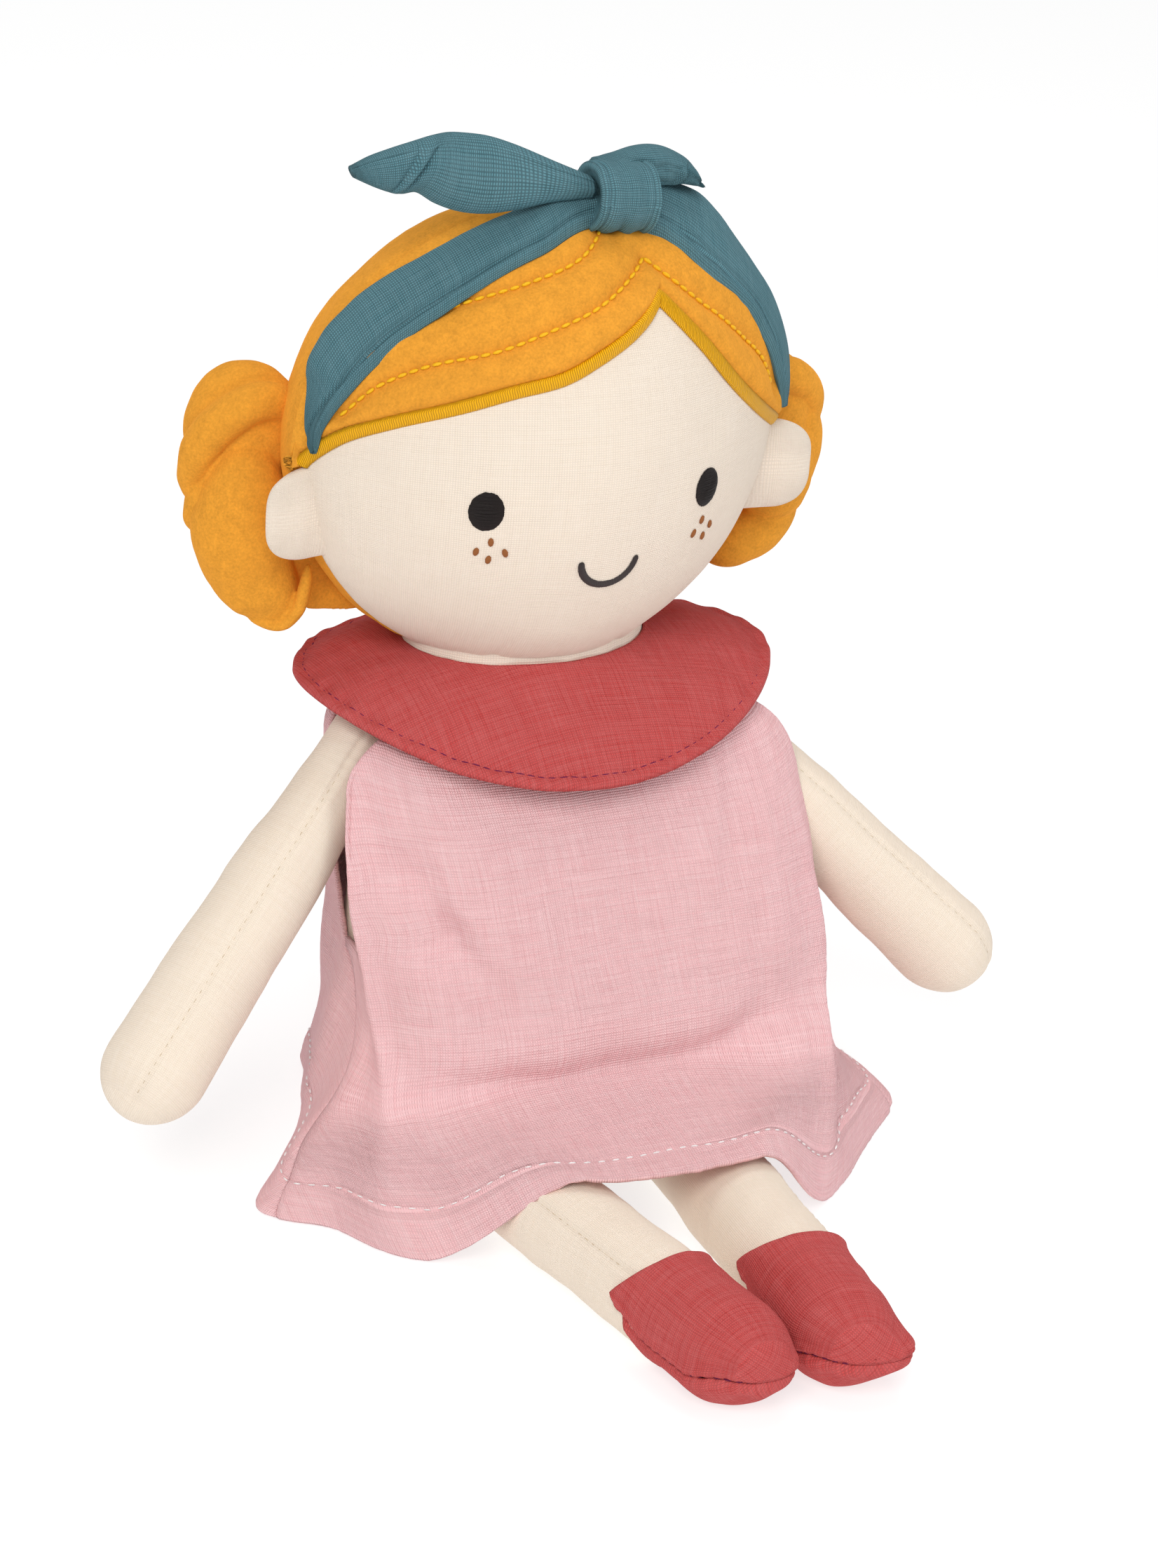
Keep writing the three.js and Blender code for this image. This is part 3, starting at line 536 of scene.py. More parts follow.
def grid_form(
    columns: int,
    rows: int,
    place: Place,
    cloth: Callable[[float, float], Flat] | None = None,
) -> bmesh.types.BMesh:
    """A sheet whose corners are placed by their shares across and down.

    Args:
        columns: Faces across.
        rows: Faces down.
        place: Gives a point in millimetres for a share across and a share down.
        cloth: Gives the cloth map in millimetres for the same shares. Without it the map is
            measured along the sheet from its middle.

    Returns:
        The open sheet, in metres.
    """
    mesh = bmesh.new()
    bmesh.ops.create_grid(mesh, x_segments=columns, y_segments=rows, size=1.0)
    low_x, low_y = min(v.co.x for v in mesh.verts), min(v.co.y for v in mesh.verts)
    steps = {}
    for vert in mesh.verts:
        across = (vert.co.x - low_x) / (-2 * low_x)
        down = (vert.co.y - low_y) / (-2 * low_y)
        steps[vert] = (round(across * columns), round(down * rows))
    spots = {step: place(step[0] / columns, step[1] / rows) for step in steps.values()}
    if cloth is None:
        flat = measured(spots, columns, rows)
    else:
        flat = {step: cloth(step[0] / columns, step[1] / rows) for step in spots}
    map_cloth(mesh, lambda vert: flat[steps[vert]])
    for vert, step in steps.items():
        vert.co = spots[step] * MM
    return mesh


def measured(spots: dict[tuple[int, int], Vector], columns: int, rows: int) -> dict[tuple[int, int], Flat]:
    """Measures a sheet along its rows and its middle column.

    Args:
        spots: The sheet's corners by their steps across and down.
        columns: Faces across.
        rows: Faces down.

    Returns:
        The distance across from the middle and the distance down, for each corner.
    """
    middle = columns // 2
    flat, down = {}, 0.0
    for row in range(rows + 1):
        if row:
            down += (spots[(middle, row)] - spots[(middle, row - 1)]).length
        for way in (1, -1):
            reach = 0.0
            flat[(middle, row)] = (0.0, down)
            for step in range(middle + way, columns + 1 if way > 0 else -1, way):
                reach += (spots[(step, row)] - spots[(step - way, row)]).length
                flat[(step, row)] = (way * reach, down)
    return flat


def ball_form(
    around: int,
    high: int,
    place: Place3,
    cloth: Callable[[Vector], Flat] = lambda unit: (unit.x * 60, unit.z * 60),
) -> bmesh.types.BMesh:
    """A closed form made from a ball, with its poles above and below.

    Args:
        around: Faces round it.
        high: Faces from pole to pole.
        place: Gives a point in millimetres for a point of the unit ball.
        cloth: Gives the cloth map in millimetres for a point of the unit ball.

    Returns:
        The form, in metres.
    """
    mesh = bmesh.new()
    bmesh.ops.create_uvsphere(mesh, u_segments=around, v_segments=high, radius=1.0)
    map_cloth(mesh, lambda vert: cloth(vert.co))
    for vert in mesh.verts:
        vert.co = place(vert.co.copy()) * MM
    return mesh


def turned_form(
    profile: Rows,
    steps: int,
    place: Place3,
    size: Flat | None = None,
) -> bmesh.types.BMesh:
    """A form turned from an outline, then bent into place.

    Args:
        profile: Radius and distance along the axis, from one end to the other.
        steps: Faces round it.
        place: Gives a point in millimetres for a point of the turned form.
        size: How far the cloth reaches round the form and along it, where the outline doesn't say.

    Returns:
        The form, in metres, with a cloth map that runs round and along it.
    """
    mesh = bmesh.new()
    line = [mesh.verts.new((radius, 0, along)) for radius, along in profile]
    edges = [mesh.edges.new(pair) for pair in zip(line, line[1:])]
    bmesh.ops.spin(
        mesh,
        geom=[*line, *edges],
        cent=(0, 0, 0),
        axis=(0, 0, 1),
        dvec=(0, 0, 0),
        angle=math.tau,
        steps=steps,
        use_merge=True,
    )
    bmesh.ops.remove_doubles(mesh, verts=mesh.verts, dist=1e-4)
    bmesh.ops.recalc_face_normals(mesh, faces=mesh.faces)
    round_scale, long_scale = max(radius for radius, _ in profile), 1.0
    if size:
        round_scale, long_scale = size[0] / math.tau, size[1]
    layer = mesh.loops.layers.uv.new(CLOTH_MAP)
    mesh.normal_update()
    for face in mesh.faces:
        face.smooth = True
        middle = face.calc_center_median()
        turn = math.atan2(middle.y, middle.x)
        if size is None and abs(face.normal.z) > 0.72:
            for loop in face.loops:
                loop[layer].uv = (loop.vert.co.x * MM, loop.vert.co.y * MM)
            continue
        for loop in face.loops:
            here = math.atan2(loop.vert.co.y, loop.vert.co.x)
            here = turn + math.remainder(here - turn, math.tau)
            loop[layer].uv = (here * round_scale * MM, loop.vert.co.z * long_scale * MM)
    for vert in mesh.verts:
        vert.co = place(vert.co.copy()) * MM
    return mesh


def drum(count: int) -> list[Flat]:
    """The outline of a drum of radius 1 and height 1, its side in equal steps."""
    return [(0.0, 0.0), *((1.0, i / count) for i in range(count + 1)), (0.0, 1.0)]


def tube_form(
    rows: Sequence[tuple[float, float, float, float]], place: Place3, facing: Vector, flat: float, blunt: float
) -> bmesh.types.BMesh:
    """A soft roll along a curve, closed at both ends.

    Args:
        rows: Points of its middle line, each with the roll's radius there, in millimetres.
        place: Moves a point of the roll to where it belongs.
        facing: The way in which the roll is flattened.
        flat: Its thickness that way, as a share of its width.
        blunt: How blunt the ends are, 2 for an ellipse.

    Returns:
        The roll, in metres.
    """
    line = spline_of([row[:3] for row in rows])
    sizes = [(i / (len(rows) - 1), row[3]) for i, row in enumerate(rows)]
    heights = [(1 - math.cos(math.pi * i / 60)) / 2 for i in range(61)]
    profile = [(max(1 - abs(2 * z - 1) ** blunt, 0) ** 0.5, z) for z in heights]

    def bend(point: Vector) -> Vector:
        share = clamp(point.z)
        way = (line.at(min(share + 0.01, 1)) - line.at(max(share - 0.01, 0))).normalized()
        side = way.cross(facing).normalized()
        size = curve(sizes, share)
        return place(line.at(share) + side * (point.x * size) + side.cross(way) * (point.y * size * flat))

    return turned_form(profile, 40, bend)


def joined(parts: Sequence[bmesh.types.BMesh]) -> bmesh.types.BMesh:
    """Puts several meshes into one.

    Args:
        parts: The meshes, which are freed.

    Returns:
        The one mesh.
    """
    whole = bmesh.new()
    for part in parts:
        data = bpy.data.meshes.new("part")
        part.to_mesh(data)
        part.free()
        whole.from_mesh(data)
        bpy.data.meshes.remove(data)
    return whole


def face_away(mesh: bmesh.types.BMesh, centre: Vector) -> None:
    """Turns an open sheet's faces away from a point, given in millimetres.

    Args:
        mesh: The open sheet.
        centre: The point, in millimetres.
    """
    mesh.normal_update()
    middle = centre * MM
    total = sum(f.normal.dot(f.calc_center_median() - middle) * f.calc_area() for f in mesh.faces)
    if total < 0:
        bmesh.ops.reverse_faces(mesh, faces=mesh.faces)


def cut(mesh: bmesh.types.BMesh, point: Sequence[float], normal: Sequence[float]) -> None:
    """Cuts away what lies past a plane, on the side its normal points to.

    Args:
        mesh: What is cut.
        point: A point of the plane, in millimetres.
        normal: The way the plane faces.
    """
    geom = [*mesh.verts, *mesh.edges, *mesh.faces]
    bmesh.ops.bisect_plane(
        mesh, geom=geom, dist=1e-7, plane_co=Vector(point) * MM, plane_no=Vector(normal), clear_outer=True
    )


def finish_piece(
    mesh: bmesh.types.BMesh,
    name: str,
    finish: Finish,
    body: str | None,
    thickness: float = 0.0,
    smoothing: int = 0,
) -> bpy.types.Object:
    """Turns a mesh into a piece of the doll.

    Args:
        mesh: The mesh, in metres.
        name: The piece's name.
        finish: What it is made of.
        body: The body that it rides on, or None to leave it without one.
        thickness: Wall that it is given inwards, in millimetres.
        smoothing: Levels of subdivision.

    Returns:
        The piece.
    """
    mesh.normal_update()
    data = bpy.data.meshes.new(name)
    mesh.to_mesh(data)
    mesh.free()
    piece = placed(name, data)
    data.materials.append(dress_material(finish))
    if thickness:
        wall = piece.modifiers.new("wall", "SOLIDIFY")
        wall.thickness = thickness * MM
        wall.offset = -1.0
    if smoothing:
        soft = piece.modifiers.new("soft", "SUBSURF")
        soft.levels = soft.render_levels = smoothing
    if body:
        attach(piece, body)
    LOG.info("made %s, %d faces", name, len(data.polygons))
    return piece


@dataclass(frozen=True)
class Seat:
    """Where a stitch lies: its middle, the way it runs and the way it faces."""

    point: Vector
    along: Vector
    normal: Vector


def stitch_row(seats: Sequence[Seat], length: float, width: float, height: float) -> bmesh.types.BMesh:
    """A row of short stitches, each a small rounded loop of thread.

    Args:
        seats: Where the stitches lie.
        length: Of a stitch, in millimetres.
        width: Of its thread.
        height: How far it stands up.

    Returns:
        All the stitches as one mesh, in metres.
    """
    mesh = bmesh.new()
    layer = mesh.loops.layers.uv.new(CLOTH_MAP)
    for seat in seats:
        across = seat.normal.cross(seat.along).normalized()
        turn = Matrix((seat.along.normalized(), across, seat.normal.normalized())).transposed().to_4x4()
        size = Matrix.Diagonal((length / 2 * MM, width / 2 * MM, height * MM, 1))
        matrix = Matrix.Translation(seat.point * MM) @ turn @ size
        bmesh.ops.create_uvsphere(mesh, u_segments=8, v_segments=5, radius=1.0, matrix=matrix)
    for face in mesh.faces:
        face.smooth = True
        for loop in face.loops:
            loop[layer].uv = (loop.vert.co.x, loop.vert.co.z)
    return mesh


def seats_along(points: Sequence[Vector], normals: Sequence[Vector], pitch: float) -> list[Seat]:
    """Spaces stitches evenly along a line of points.

    Args:
        points: The line, in millimetres.
        normals: The way the cloth faces at each point.
        pitch: From one stitch to the next.

    Returns:
        The stitches' places.
    """
    seats, left = [], pitch / 2
    for a, b, normal in zip(points, points[1:], normals):
        span = (b - a).length
        while left <= span and span > 0:
            way = (b - a).normalized()
            seats.append(Seat(a + way * left, way, normal))
            left += pitch
        left -= span
    return seats


def surface_normal(surface: Place, a: float, b: float, step: float) -> Vector:
    """The way a surface faces, from its slope along its two numbers.

    Args:
        surface: Gives a point for its two numbers.
        a: The first number.
        b: The second number.
        step: How far to either side the slope is taken.

    Returns:
        The way, of length 1.
    """
    first = surface(a + step, b) - surface(a - step, b)
    second = surface(a, b + step) - surface(a, b - step)
    return first.cross(second).normalized()


def line_distance(points: Sequence[Vector], at: Vector) -> float:
    """How far a point lies from a line of points.

    Args:
        points: The line's points.
        at: The point.

    Returns:
        The distance, in the unit of the points.
    """
    best = 1e9
    for a, b in zip(points, points[1:]):
        way = b - a
        share = clamp((at - a).dot(way) / max(way.length_squared, 1e-9))
        best = min(best, (at - a - way * share).length)
    return best


# The head


@dataclass(frozen=True)
class HeadForm:
    """The stuffed head: two shallow rounds that meet in a seam down each side."""

    aside: float = 10.0
    behind: float = 12.0
    height: float = 180.0
    half_width: float = 66.0
    front_depth: float = 39.5
    back_depth: float = 52.0
    crown: float = 58.6
    chin: float = 61.4
    front_round: float = 5 / 3
    neck_level: float = 126.0

    @property
    def middle(self) -> Vector:
        """The head's middle."""
        return Vector((self.aside, self.behind, self.height))

    def place(self, unit: Vector, grow: float = 0.0) -> Vector:
        """The point of the head's surface for a point of the unit ball.

        Args:
            unit: The point of the unit ball.
            grow: How far outside the linen it lies, in millimetres.

        Returns:
            The point, in millimetres.
        """
        level = math.sqrt(max(1 - unit.z**2, 1e-9))
        if unit.y < 0:
            reach = -(self.front_depth + grow) * level * (-unit.y / level) ** self.front_round
        else:
            reach = (self.back_depth + grow) * unit.y
        tall = (self.crown if unit.z > 0 else self.chin) + grow
        return self.middle + Vector(((self.half_width + grow) * unit.x, reach, tall * unit.z))

    def unit_front(self, x: float, z: float) -> Vector:
        """The point of the unit ball in front of a place in the row frame.

        Args:
            x: The place across, in millimetres.
            z: The place's height, in millimetres.

        Returns:
            The point, which lies on the rim where the place is outside the head.
        """
        ux = (x - self.aside) / self.half_width
        uz = (z - self.height) / (self.crown if z > self.height else self.chin)
        far = ux * ux + uz * uz
        if far >= 1:
            return Vector((ux, 0, uz)).normalized()
        return Vector((ux, -math.sqrt(1 - far), uz))

    def front(self, x: float, z: float, grow: float = 0.0) -> Vector:
        """The point of the head's front at a place in the row frame."""
        return self.place(self.unit_front(x, z), grow)

    def polar(self, turn: float, tilt: float) -> Vector:
        """A point of the unit ball from its turn round the face and its tilt from straight ahead, in degrees."""
        a, b = math.radians(turn), math.radians(tilt)
        return Vector((math.cos(a) * math.sin(b), -math.cos(b), math.sin(a) * math.sin(b)))

    def tilt_at(self, turn: float, y: float, grow: float) -> float:
        """The tilt at which a turn reaches a depth.

        Args:
            turn: Degrees round the face, from the left side over the top.
            y: The depth in millimetres, from the side seam.
            grow: How far outside the linen the surface lies.

        Returns:
            The tilt in degrees.
        """
        low, high = 20.0, 150.0
        for _ in range(24):
            middle = (low + high) / 2
            if self.place(self.polar(turn, middle), grow).y - self.behind < y:
                low = middle
            else:
                high = middle
        return (low + high) / 2

    def facing(self, unit: Vector) -> Vector:
        """The way the head's surface faces at a point of the unit ball.

        Args:
            unit: The point of the unit ball.

        Returns:
            The way outwards, of length 1.
        """
        first = unit.cross(UP if abs(unit.z) < 0.95 else Vector((1, 0, 0))).normalized()
        second = unit.cross(first).normalized()
        here = self.place(unit)
        a = self.place((unit + first * 0.01).normalized()) - here
        b = self.place((unit + second * 0.01).normalized()) - here
        way = a.cross(b).normalized()
        return way if way.dot(here - self.middle) > 0 else -way


HEAD = HeadForm()


def head_spot(x: float, y: float, z: float) -> Vector:
    """A point measured from the head's own axis, in the row frame."""
    return Vector((x + HEAD.aside, y + HEAD.behind, z))


@dataclass
class Face:
    """The linen front of the head, with its stitched features."""

    eye_asides: tuple[float, float] = (30.0, 31.0)
    eye_height: float = 173.4
    eye_half_width: float = 3.9
    eye_half_height: float = 5.1
    eye_crown: float = 0.75
    mouth_height: float = 159.3
    mouth_half_width: float = 7.7
    mouth_drop: float = 7.4
    mouth_line: float = 1.9
    mouth_aside: float = 2.4
    freckle_length: float = 2.6
    freckle_width: float = 1.6
    dart_aside: float = 17.0
    dart_top: float = 136.0
    freckles: Pairs = (
        (-28.2, 165.2), (-31.1, 162.3), (-24.6, 162.3), (-28.1, 160.2),
        (31.1, 164.2), (34.9, 161.7), (28.8, 160.9), (32.9, 158.9),
    )

    def skin_point(self, unit: Vector) -> Vector:
        """The linen's surface, with its darts and soft unevenness.

        Args:
            unit: The point of the unit ball.

        Returns:
            The point, in millimetres.
        """
        point = HEAD.place(unit)
        soft = 0.3 * wobble(point, 16, 3) + 0.14 * wobble(point, 6, 9)
        low = ease((self.dart_top - point.z) / 10)
        for side in Side:
            dart = HEAD.aside + side.value * self.dart_aside
            soft -= 0.7 * bell(point.x - dart, 1.1) * low
            soft += 0.25 * bell(point.x - dart - side.value * 3.2, 2.2) * low
        pucker = ease((unit.y + 0.22) / 0.2)
        soft += 0.22 * pucker * wobble(point, 3.2, 5)
        inward = HEAD.facing(unit)
        edge = ease((unit.y + 0.1) / 0.1) * 0.7
        return point + inward * (soft - edge)

    def cloth_at(self, unit: Vector) -> Flat:
        """The cloth map, flat in front and eased round the sides.

        Args:
            unit: The point of the unit ball.

        Returns:
            The place on the cloth, in millimetres.
        """
        away = math.acos(clamp(-unit.y, -1, 1))
        wide = math.hypot(unit.x, unit.z)
        scale = 62 * away / wide if wide > 1e-6 else 62
        return unit.x * scale, unit.z * scale

    def skin(self) -> bpy.types.Object:
        """Makes the linen front.

        Returns:
            The piece.
        """
        mesh = ball_form(144, 96, self.skin_point, self.cloth_at)
        cut(mesh, (0, HEAD.behind - 0.05, 0), (0, 1, 0))
        cut(mesh, (0, 0, HEAD.neck_level), (0, 0, -1))
        piece = finish_piece(mesh, "face_linen", SKIN, "head", thickness=1.0, smoothing=1)
        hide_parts("face_panel", "head_stuffing")
        return piece

    def eye(self, side: Side) -> bpy.types.Object:
        """Makes one satin-stitched eye.

        Args:
            side: The doll's side.

        Returns:
            The eye.
        """
        centre = HEAD.aside + side.value * self.eye_asides[side is Side.LEFT]

        def place(across: float, down: float) -> Vector:
            turn = across * math.tau
            ragged = 1 + (0.02 + 0.035 * wobble(Vector((turn * 9, side.value, 0)), 1.0, 2)) * (down > 0.9)
            x = centre + math.cos(turn) * self.eye_half_width * down * ragged
            z = self.eye_height + math.sin(turn) * self.eye_half_height * down * ragged
            dome = math.sqrt(max(1 - down**2, 0)) * self.eye_crown + 0.15
            row = 0.10 * math.sin(z * math.tau / 0.55) * (1 - down**4)
            return HEAD.front(x, z, dome + row)

        mesh = grid_form(72, 26, place)
        bmesh.ops.remove_doubles(mesh, verts=mesh.verts, dist=1e-6)
        layer = mesh.loops.layers.uv[CLOTH_MAP]
        for face in mesh.faces:
            for loop in face.loops:
                loop[layer].uv = (loop.vert.co.z, loop.vert.co.x)
        face_away(mesh, HEAD.middle)
        piece = finish_piece(mesh, f"eye_{side.label}_satin", BLACK_SATIN, "head")
        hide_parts(f"eye_{side.label}")
        return piece

    def mouth(self) -> bpy.types.Object:
        """Makes the smile, one curved line of satin stitch.

        Returns:
            The piece.
        """
        middle = HEAD.aside + self.mouth_aside

        def place(across: float, down: float) -> Vector:
            turn = math.pi * (1 + across)
            out = (down - 0.5) * self.mouth_line * (1 + 0.12 * wobble(Vector((across * 60, 0, 0)), 1.0, 4))
            ends = math.sqrt(clamp(1 - (abs(across - 0.5) * 2) ** 18))
            x = middle + math.cos(turn) * (self.mouth_half_width + out * ends)
            z = self.mouth_height + math.sin(turn) * (self.mouth_drop + out * ends)
            dome = 0.55 * math.sin(math.pi * clamp(down)) * ends + 0.12
            return HEAD.front(x, z, dome)

        mesh = grid_form(120, 8, place)
        face_away(mesh, HEAD.middle)
        piece = finish_piece(mesh, "mouth_satin", CHARCOAL_SATIN, "head")
        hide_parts("mouth_embroidery")
        return piece

    def freckle_marks(self) -> bpy.types.Object:
        """Makes the freckles, four short stitches on each cheek.

        Returns:
            The piece.
        """
        seats = []
        for index, (x, z) in enumerate(self.freckles):
            unit = HEAD.unit_front(x + HEAD.aside, z)
            normal = HEAD.facing(unit)
            lean = UP + Vector((0.35 * math.sin(index * 2.3), 0, 0))
            seats.append(Seat(HEAD.place(unit, 0.15), (lean - normal * normal.dot(lean)).normalized(), normal))
        mesh = stitch_row(seats, self.freckle_length, self.freckle_width, 0.45)
        piece = finish_piece(mesh, "freckles", BROWN_STITCH, "head")
        return piece

    def build(self) -> None:
        """Makes the whole face."""
        self.skin()
        for side in Side:
            self.eye(side)
        self.mouth()
        self.freckle_marks()


@dataclass
class Hair:
    """The felt hair: a front piece with a peaked hairline, a back piece, and stitched strands."""

    felt: float = 1.5
    border_width: float = 3.4
    border_start: float = 0.035
    peak_share: float = 0.57
    stitch_pitch: float = 3.0
    stitch_length: float = 2.7
    stitch_width: float = 1.0
    groove_width: float = 1.7
    groove_depth: float = 1.0
    puff: float = 1.3
    right_line: Pairs = (
        (-66.0, 172.0), (-65.6, 176.5), (-64.4, 180.3), (-58.9, 187.3), (-49.4, 193.1), (-35.5, 198.7),
        (-24.2, 202.8), (-11.9, 206.1), (-2.9, 210.1), (7.4, 215.0), (13.5, 218.8), (16.3, 221.5),
    )
    left_line: Pairs = (
        (16.3, 221.5), (20.0, 217.9), (28.7, 209.2), (40.6, 196.7), (52.0, 187.0), (60.0, 181.0), (66.0, 176.8),
    )
    strands: tuple[Pairs, ...] = (
        ((12.5, 239.5), (5.8, 235.5), (-2.1, 231.6), (-15.9, 228), (-29.4, 224.1), (-42, 219)),
        (
            (15.2, 229.5), (10.5, 226.9), (-1.1, 221.7), (-14.8, 217.7), (-26.9, 213.7), (-41.4, 209.2),
            (-51.9, 202.7), (-59.3, 194.1),
        ),
        ((15.2, 229.5), (23, 223.4), (40.3, 210.5), (53.4, 199.2), (60, 189)),
    )

    def strand_points(self, grow: float = 0.0) -> list[list[Vector]]:
        """The strands' lines, laid on the head.

        Args:
            grow: How far outside the linen they lie, in millimetres.

        Returns:
            Each strand's points, in millimetres.
        """
        lines = []
        for rows in self.strands:
            spline = spline_of([(x + HEAD.aside, z - 2.0 * ease((12 - x) / 45), 0) for x, z in rows])
            lines.append([HEAD.front(p.x, p.y, grow) for p in spline.even(48)])
        return lines

    def hairline(self, share: float) -> Vector:
        """A point of the unit ball on the hairline, from the right side over the peak to the left.

        Args:
            share: From 0 at the right side to 1 at the left.

        Returns:
            The point.
        """
        right, left = self.line_splines
        if share < self.peak_share:
            spot = right.at(share / self.peak_share)
        else:
            spot = left.at((share - self.peak_share) / (1 - self.peak_share))
        return HEAD.unit_front(spot.x + HEAD.aside, spot.y)

    @functools.cached_property
    def line_splines(self) -> tuple[Spline, Spline]:
        """The two halves of the hairline, evened out along their lengths."""
        halves = [spline_of([(x, z, 0) for x, z in rows]).even(40) for rows in (self.right_line, self.left_line)]
        return Spline(tuple(halves[0])), Spline(tuple(halves[1]))

    def front_unit(self, across: float, down: float) -> Vector:
        """A point of the front hair, from the side seam above to the hairline below.

        Args:
            across: The share from the right side to the left.
            down: The share from the seam to the hairline.

        Returns:
            The point of the unit ball.
        """
        low = self.hairline(across)
        if across < self.peak_share:
            turn = mix(182.0, 72.0, across / self.peak_share)
        else:
            turn = mix(72.0, -3.0, (across - self.peak_share) / (1 - self.peak_share))
        high = HEAD.polar(turn, 90.0)
        return (high.lerp(low, down)).normalized()

    def lift(self, base: Vector, near: float, reach: float) -> float:
        """How far the front felt stands off its even layer.

        Args:
            base: The place on the even layer.
            near: How far the nearest strand is.
            reach: How far the hairline is.

        Returns:
            The lift in millimetres.
        """
        lift = self.puff * (1 - bell(near, 5.0)) - self.groove_depth * bell(near, self.groove_width)
        dimple = base - head_spot(8.6, -15, 236.0)
        lift -= 1.0 * math.exp(-((dimple.x / 1.6) ** 2) - ((dimple.z / 4) ** 2))
        lift += 0.35 * wobble(base, 14, 1) + 0.12 * wobble(base, 4, 6)
        return mix(-1.25, lift, ease(reach / 5.0))

    def front(self) -> bpy.types.Object:
        """Makes the front felt, sewn down along its strands.

        Returns:
            The piece.
        """
        lines = self.strand_points(self.felt)

        def place(across: float, down: float) -> Vector:
            unit = self.front_unit(across, down)
            base = HEAD.place(unit, self.felt)
            near = min(line_distance(line, base) for line in lines)
            reach = (HEAD.place(self.hairline(across), self.felt) - base).length
            seam = ease(down / 0.06)
            return base + HEAD.facing(unit) * (self.lift(base, near, reach) - 2.2 * (1 - seam))

        mesh = grid_form(300, 96, place)
        face_away(mesh, HEAD.middle)
        piece = finish_piece(mesh, "hair_front_felt", FELT, "head", thickness=self.felt)
        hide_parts("hair_front_panel")
        return piece

    def back(self) -> bpy.types.Object:
        """Makes the back felt, which meets the front in the side seam.

        Returns:
            The piece.
        """

        def place(unit: Vector) -> Vector:
            base = HEAD.place(unit, self.felt)
            across = bell((unit.x + 0.15) * 60 - unit.z * 8, 1.6)
            crease = across * ease((unit.z - 0.15) / 0.4) * ease((0.75 - unit.y) / 0.4)
            lift = 0.7 * wobble(base, 22, 2) + 0.15 * wobble(base, 5, 7)
            lift -= 1.0 * (1 - ease(unit.y / 0.09))
            lift -= 2.4 * (1 - ease(unit.y / 0.2)) * ease(-unit.z / 0.15)
            turn = math.degrees(math.atan2(unit.z, unit.x))
            line = curve(((124, 21.5), (130, 19.5), (139, 15.2), (147, 14.7), (152, 13), (158, 12.5)), turn)
            lift -= 0.5 * bell(base.y - HEAD.behind - line, 1.6) * ease((turn - 124) / 6) * ease((158 - turn) / 6)
            return base + HEAD.facing(unit) * (lift - 0.5 * crease)

        mesh = ball_form(160, 110, place)
        cut(mesh, (0, HEAD.behind + 0.02, 0), (0, -1, 0))
        cut(mesh, (0, 0, HEAD.neck_level - 2.5), (0, 0, -1))
        piece = finish_piece(mesh, "hair_back_felt", FELT, "head", thickness=self.felt)
        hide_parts("hair_back_panel")
        return piece

    def border(self) -> bpy.types.Object:
        """Makes the golden satin border that covers the hairline.

        Returns:
            The piece.
        """

        def place(across: float, down: float) -> Vector:
            across = mix(self.border_start, 1.0, across)
            unit = self.hairline(across)
            here = HEAD.place(unit)
            step = 0.010 if abs(across - self.peak_share) < 0.01 else 0.0015
            before, after = HEAD.place(self.hairline(across - step)), HEAD.place(self.hairline(across + step))
            along = (after - before).normalized()
            normal = HEAD.facing(unit)
            up = normal.cross(along).normalized()
            if up.z < 0:
                up = -up
            spread = down * 2 - 1
            rag = 0.28 * wobble(Vector((across * 420, 0, 0)), 1.0, 3)
            rag += 0.16 * wobble(Vector((across * 900, 5, 0)), 1.0, 3)
            half = self.border_width / 2
            sideways = half * spread + rag * (0.5 + spread * 0.5) * abs(spread)
            mitre = 1 + 0.2 * bell((across - self.peak_share) * 200, 1.6)
            dome = 1.3 * max(1 - spread**2 * 0.98, 0) ** 0.5
            edge_spot = here + up * (sideways * mitre + 0.4)
            unit_spot = HEAD.unit_front(edge_spot.x, edge_spot.z)
            stand = 0.05 + self.felt * 0.6 * ease((spread + 0.7) / 1.2) + dome
            return HEAD.place(unit_spot, stand) if unit_spot.y < -0.02 else edge_spot + normal * stand

        mesh = grid_form(620, 8, place)
        face_away(mesh, HEAD.middle)
        piece = finish_piece(mesh, "hairline_satin", GOLD_SATIN, "head", thickness=0.4)
        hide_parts("hairline_border")
        return piece

    def strand_stitches(self) -> bpy.types.Object:
        """Makes the lines of golden stitches.

        Returns:
            The piece.
        """
        seats = []
        for line in self.strand_points(self.felt):
            line = [p + HEAD.facing(HEAD.unit_front(p.x, p.z)) * (self.lift(p, 0, 9) + 0.35) for p in line]
            normals = [HEAD.facing(HEAD.unit_front(p.x, p.z)) for p in line]
            seats += seats_along(line, normals, self.stitch_pitch)
        mesh = stitch_row(seats, self.stitch_length, self.stitch_width, 0.6)
        piece = finish_piece(mesh, "strand_stitches", GOLD_STITCH, "head")
        return piece

    def build(self) -> None:
        """Makes the hair, all but the buns."""
        self.front()
        self.back()
        self.border()
        self.strand_stitches()


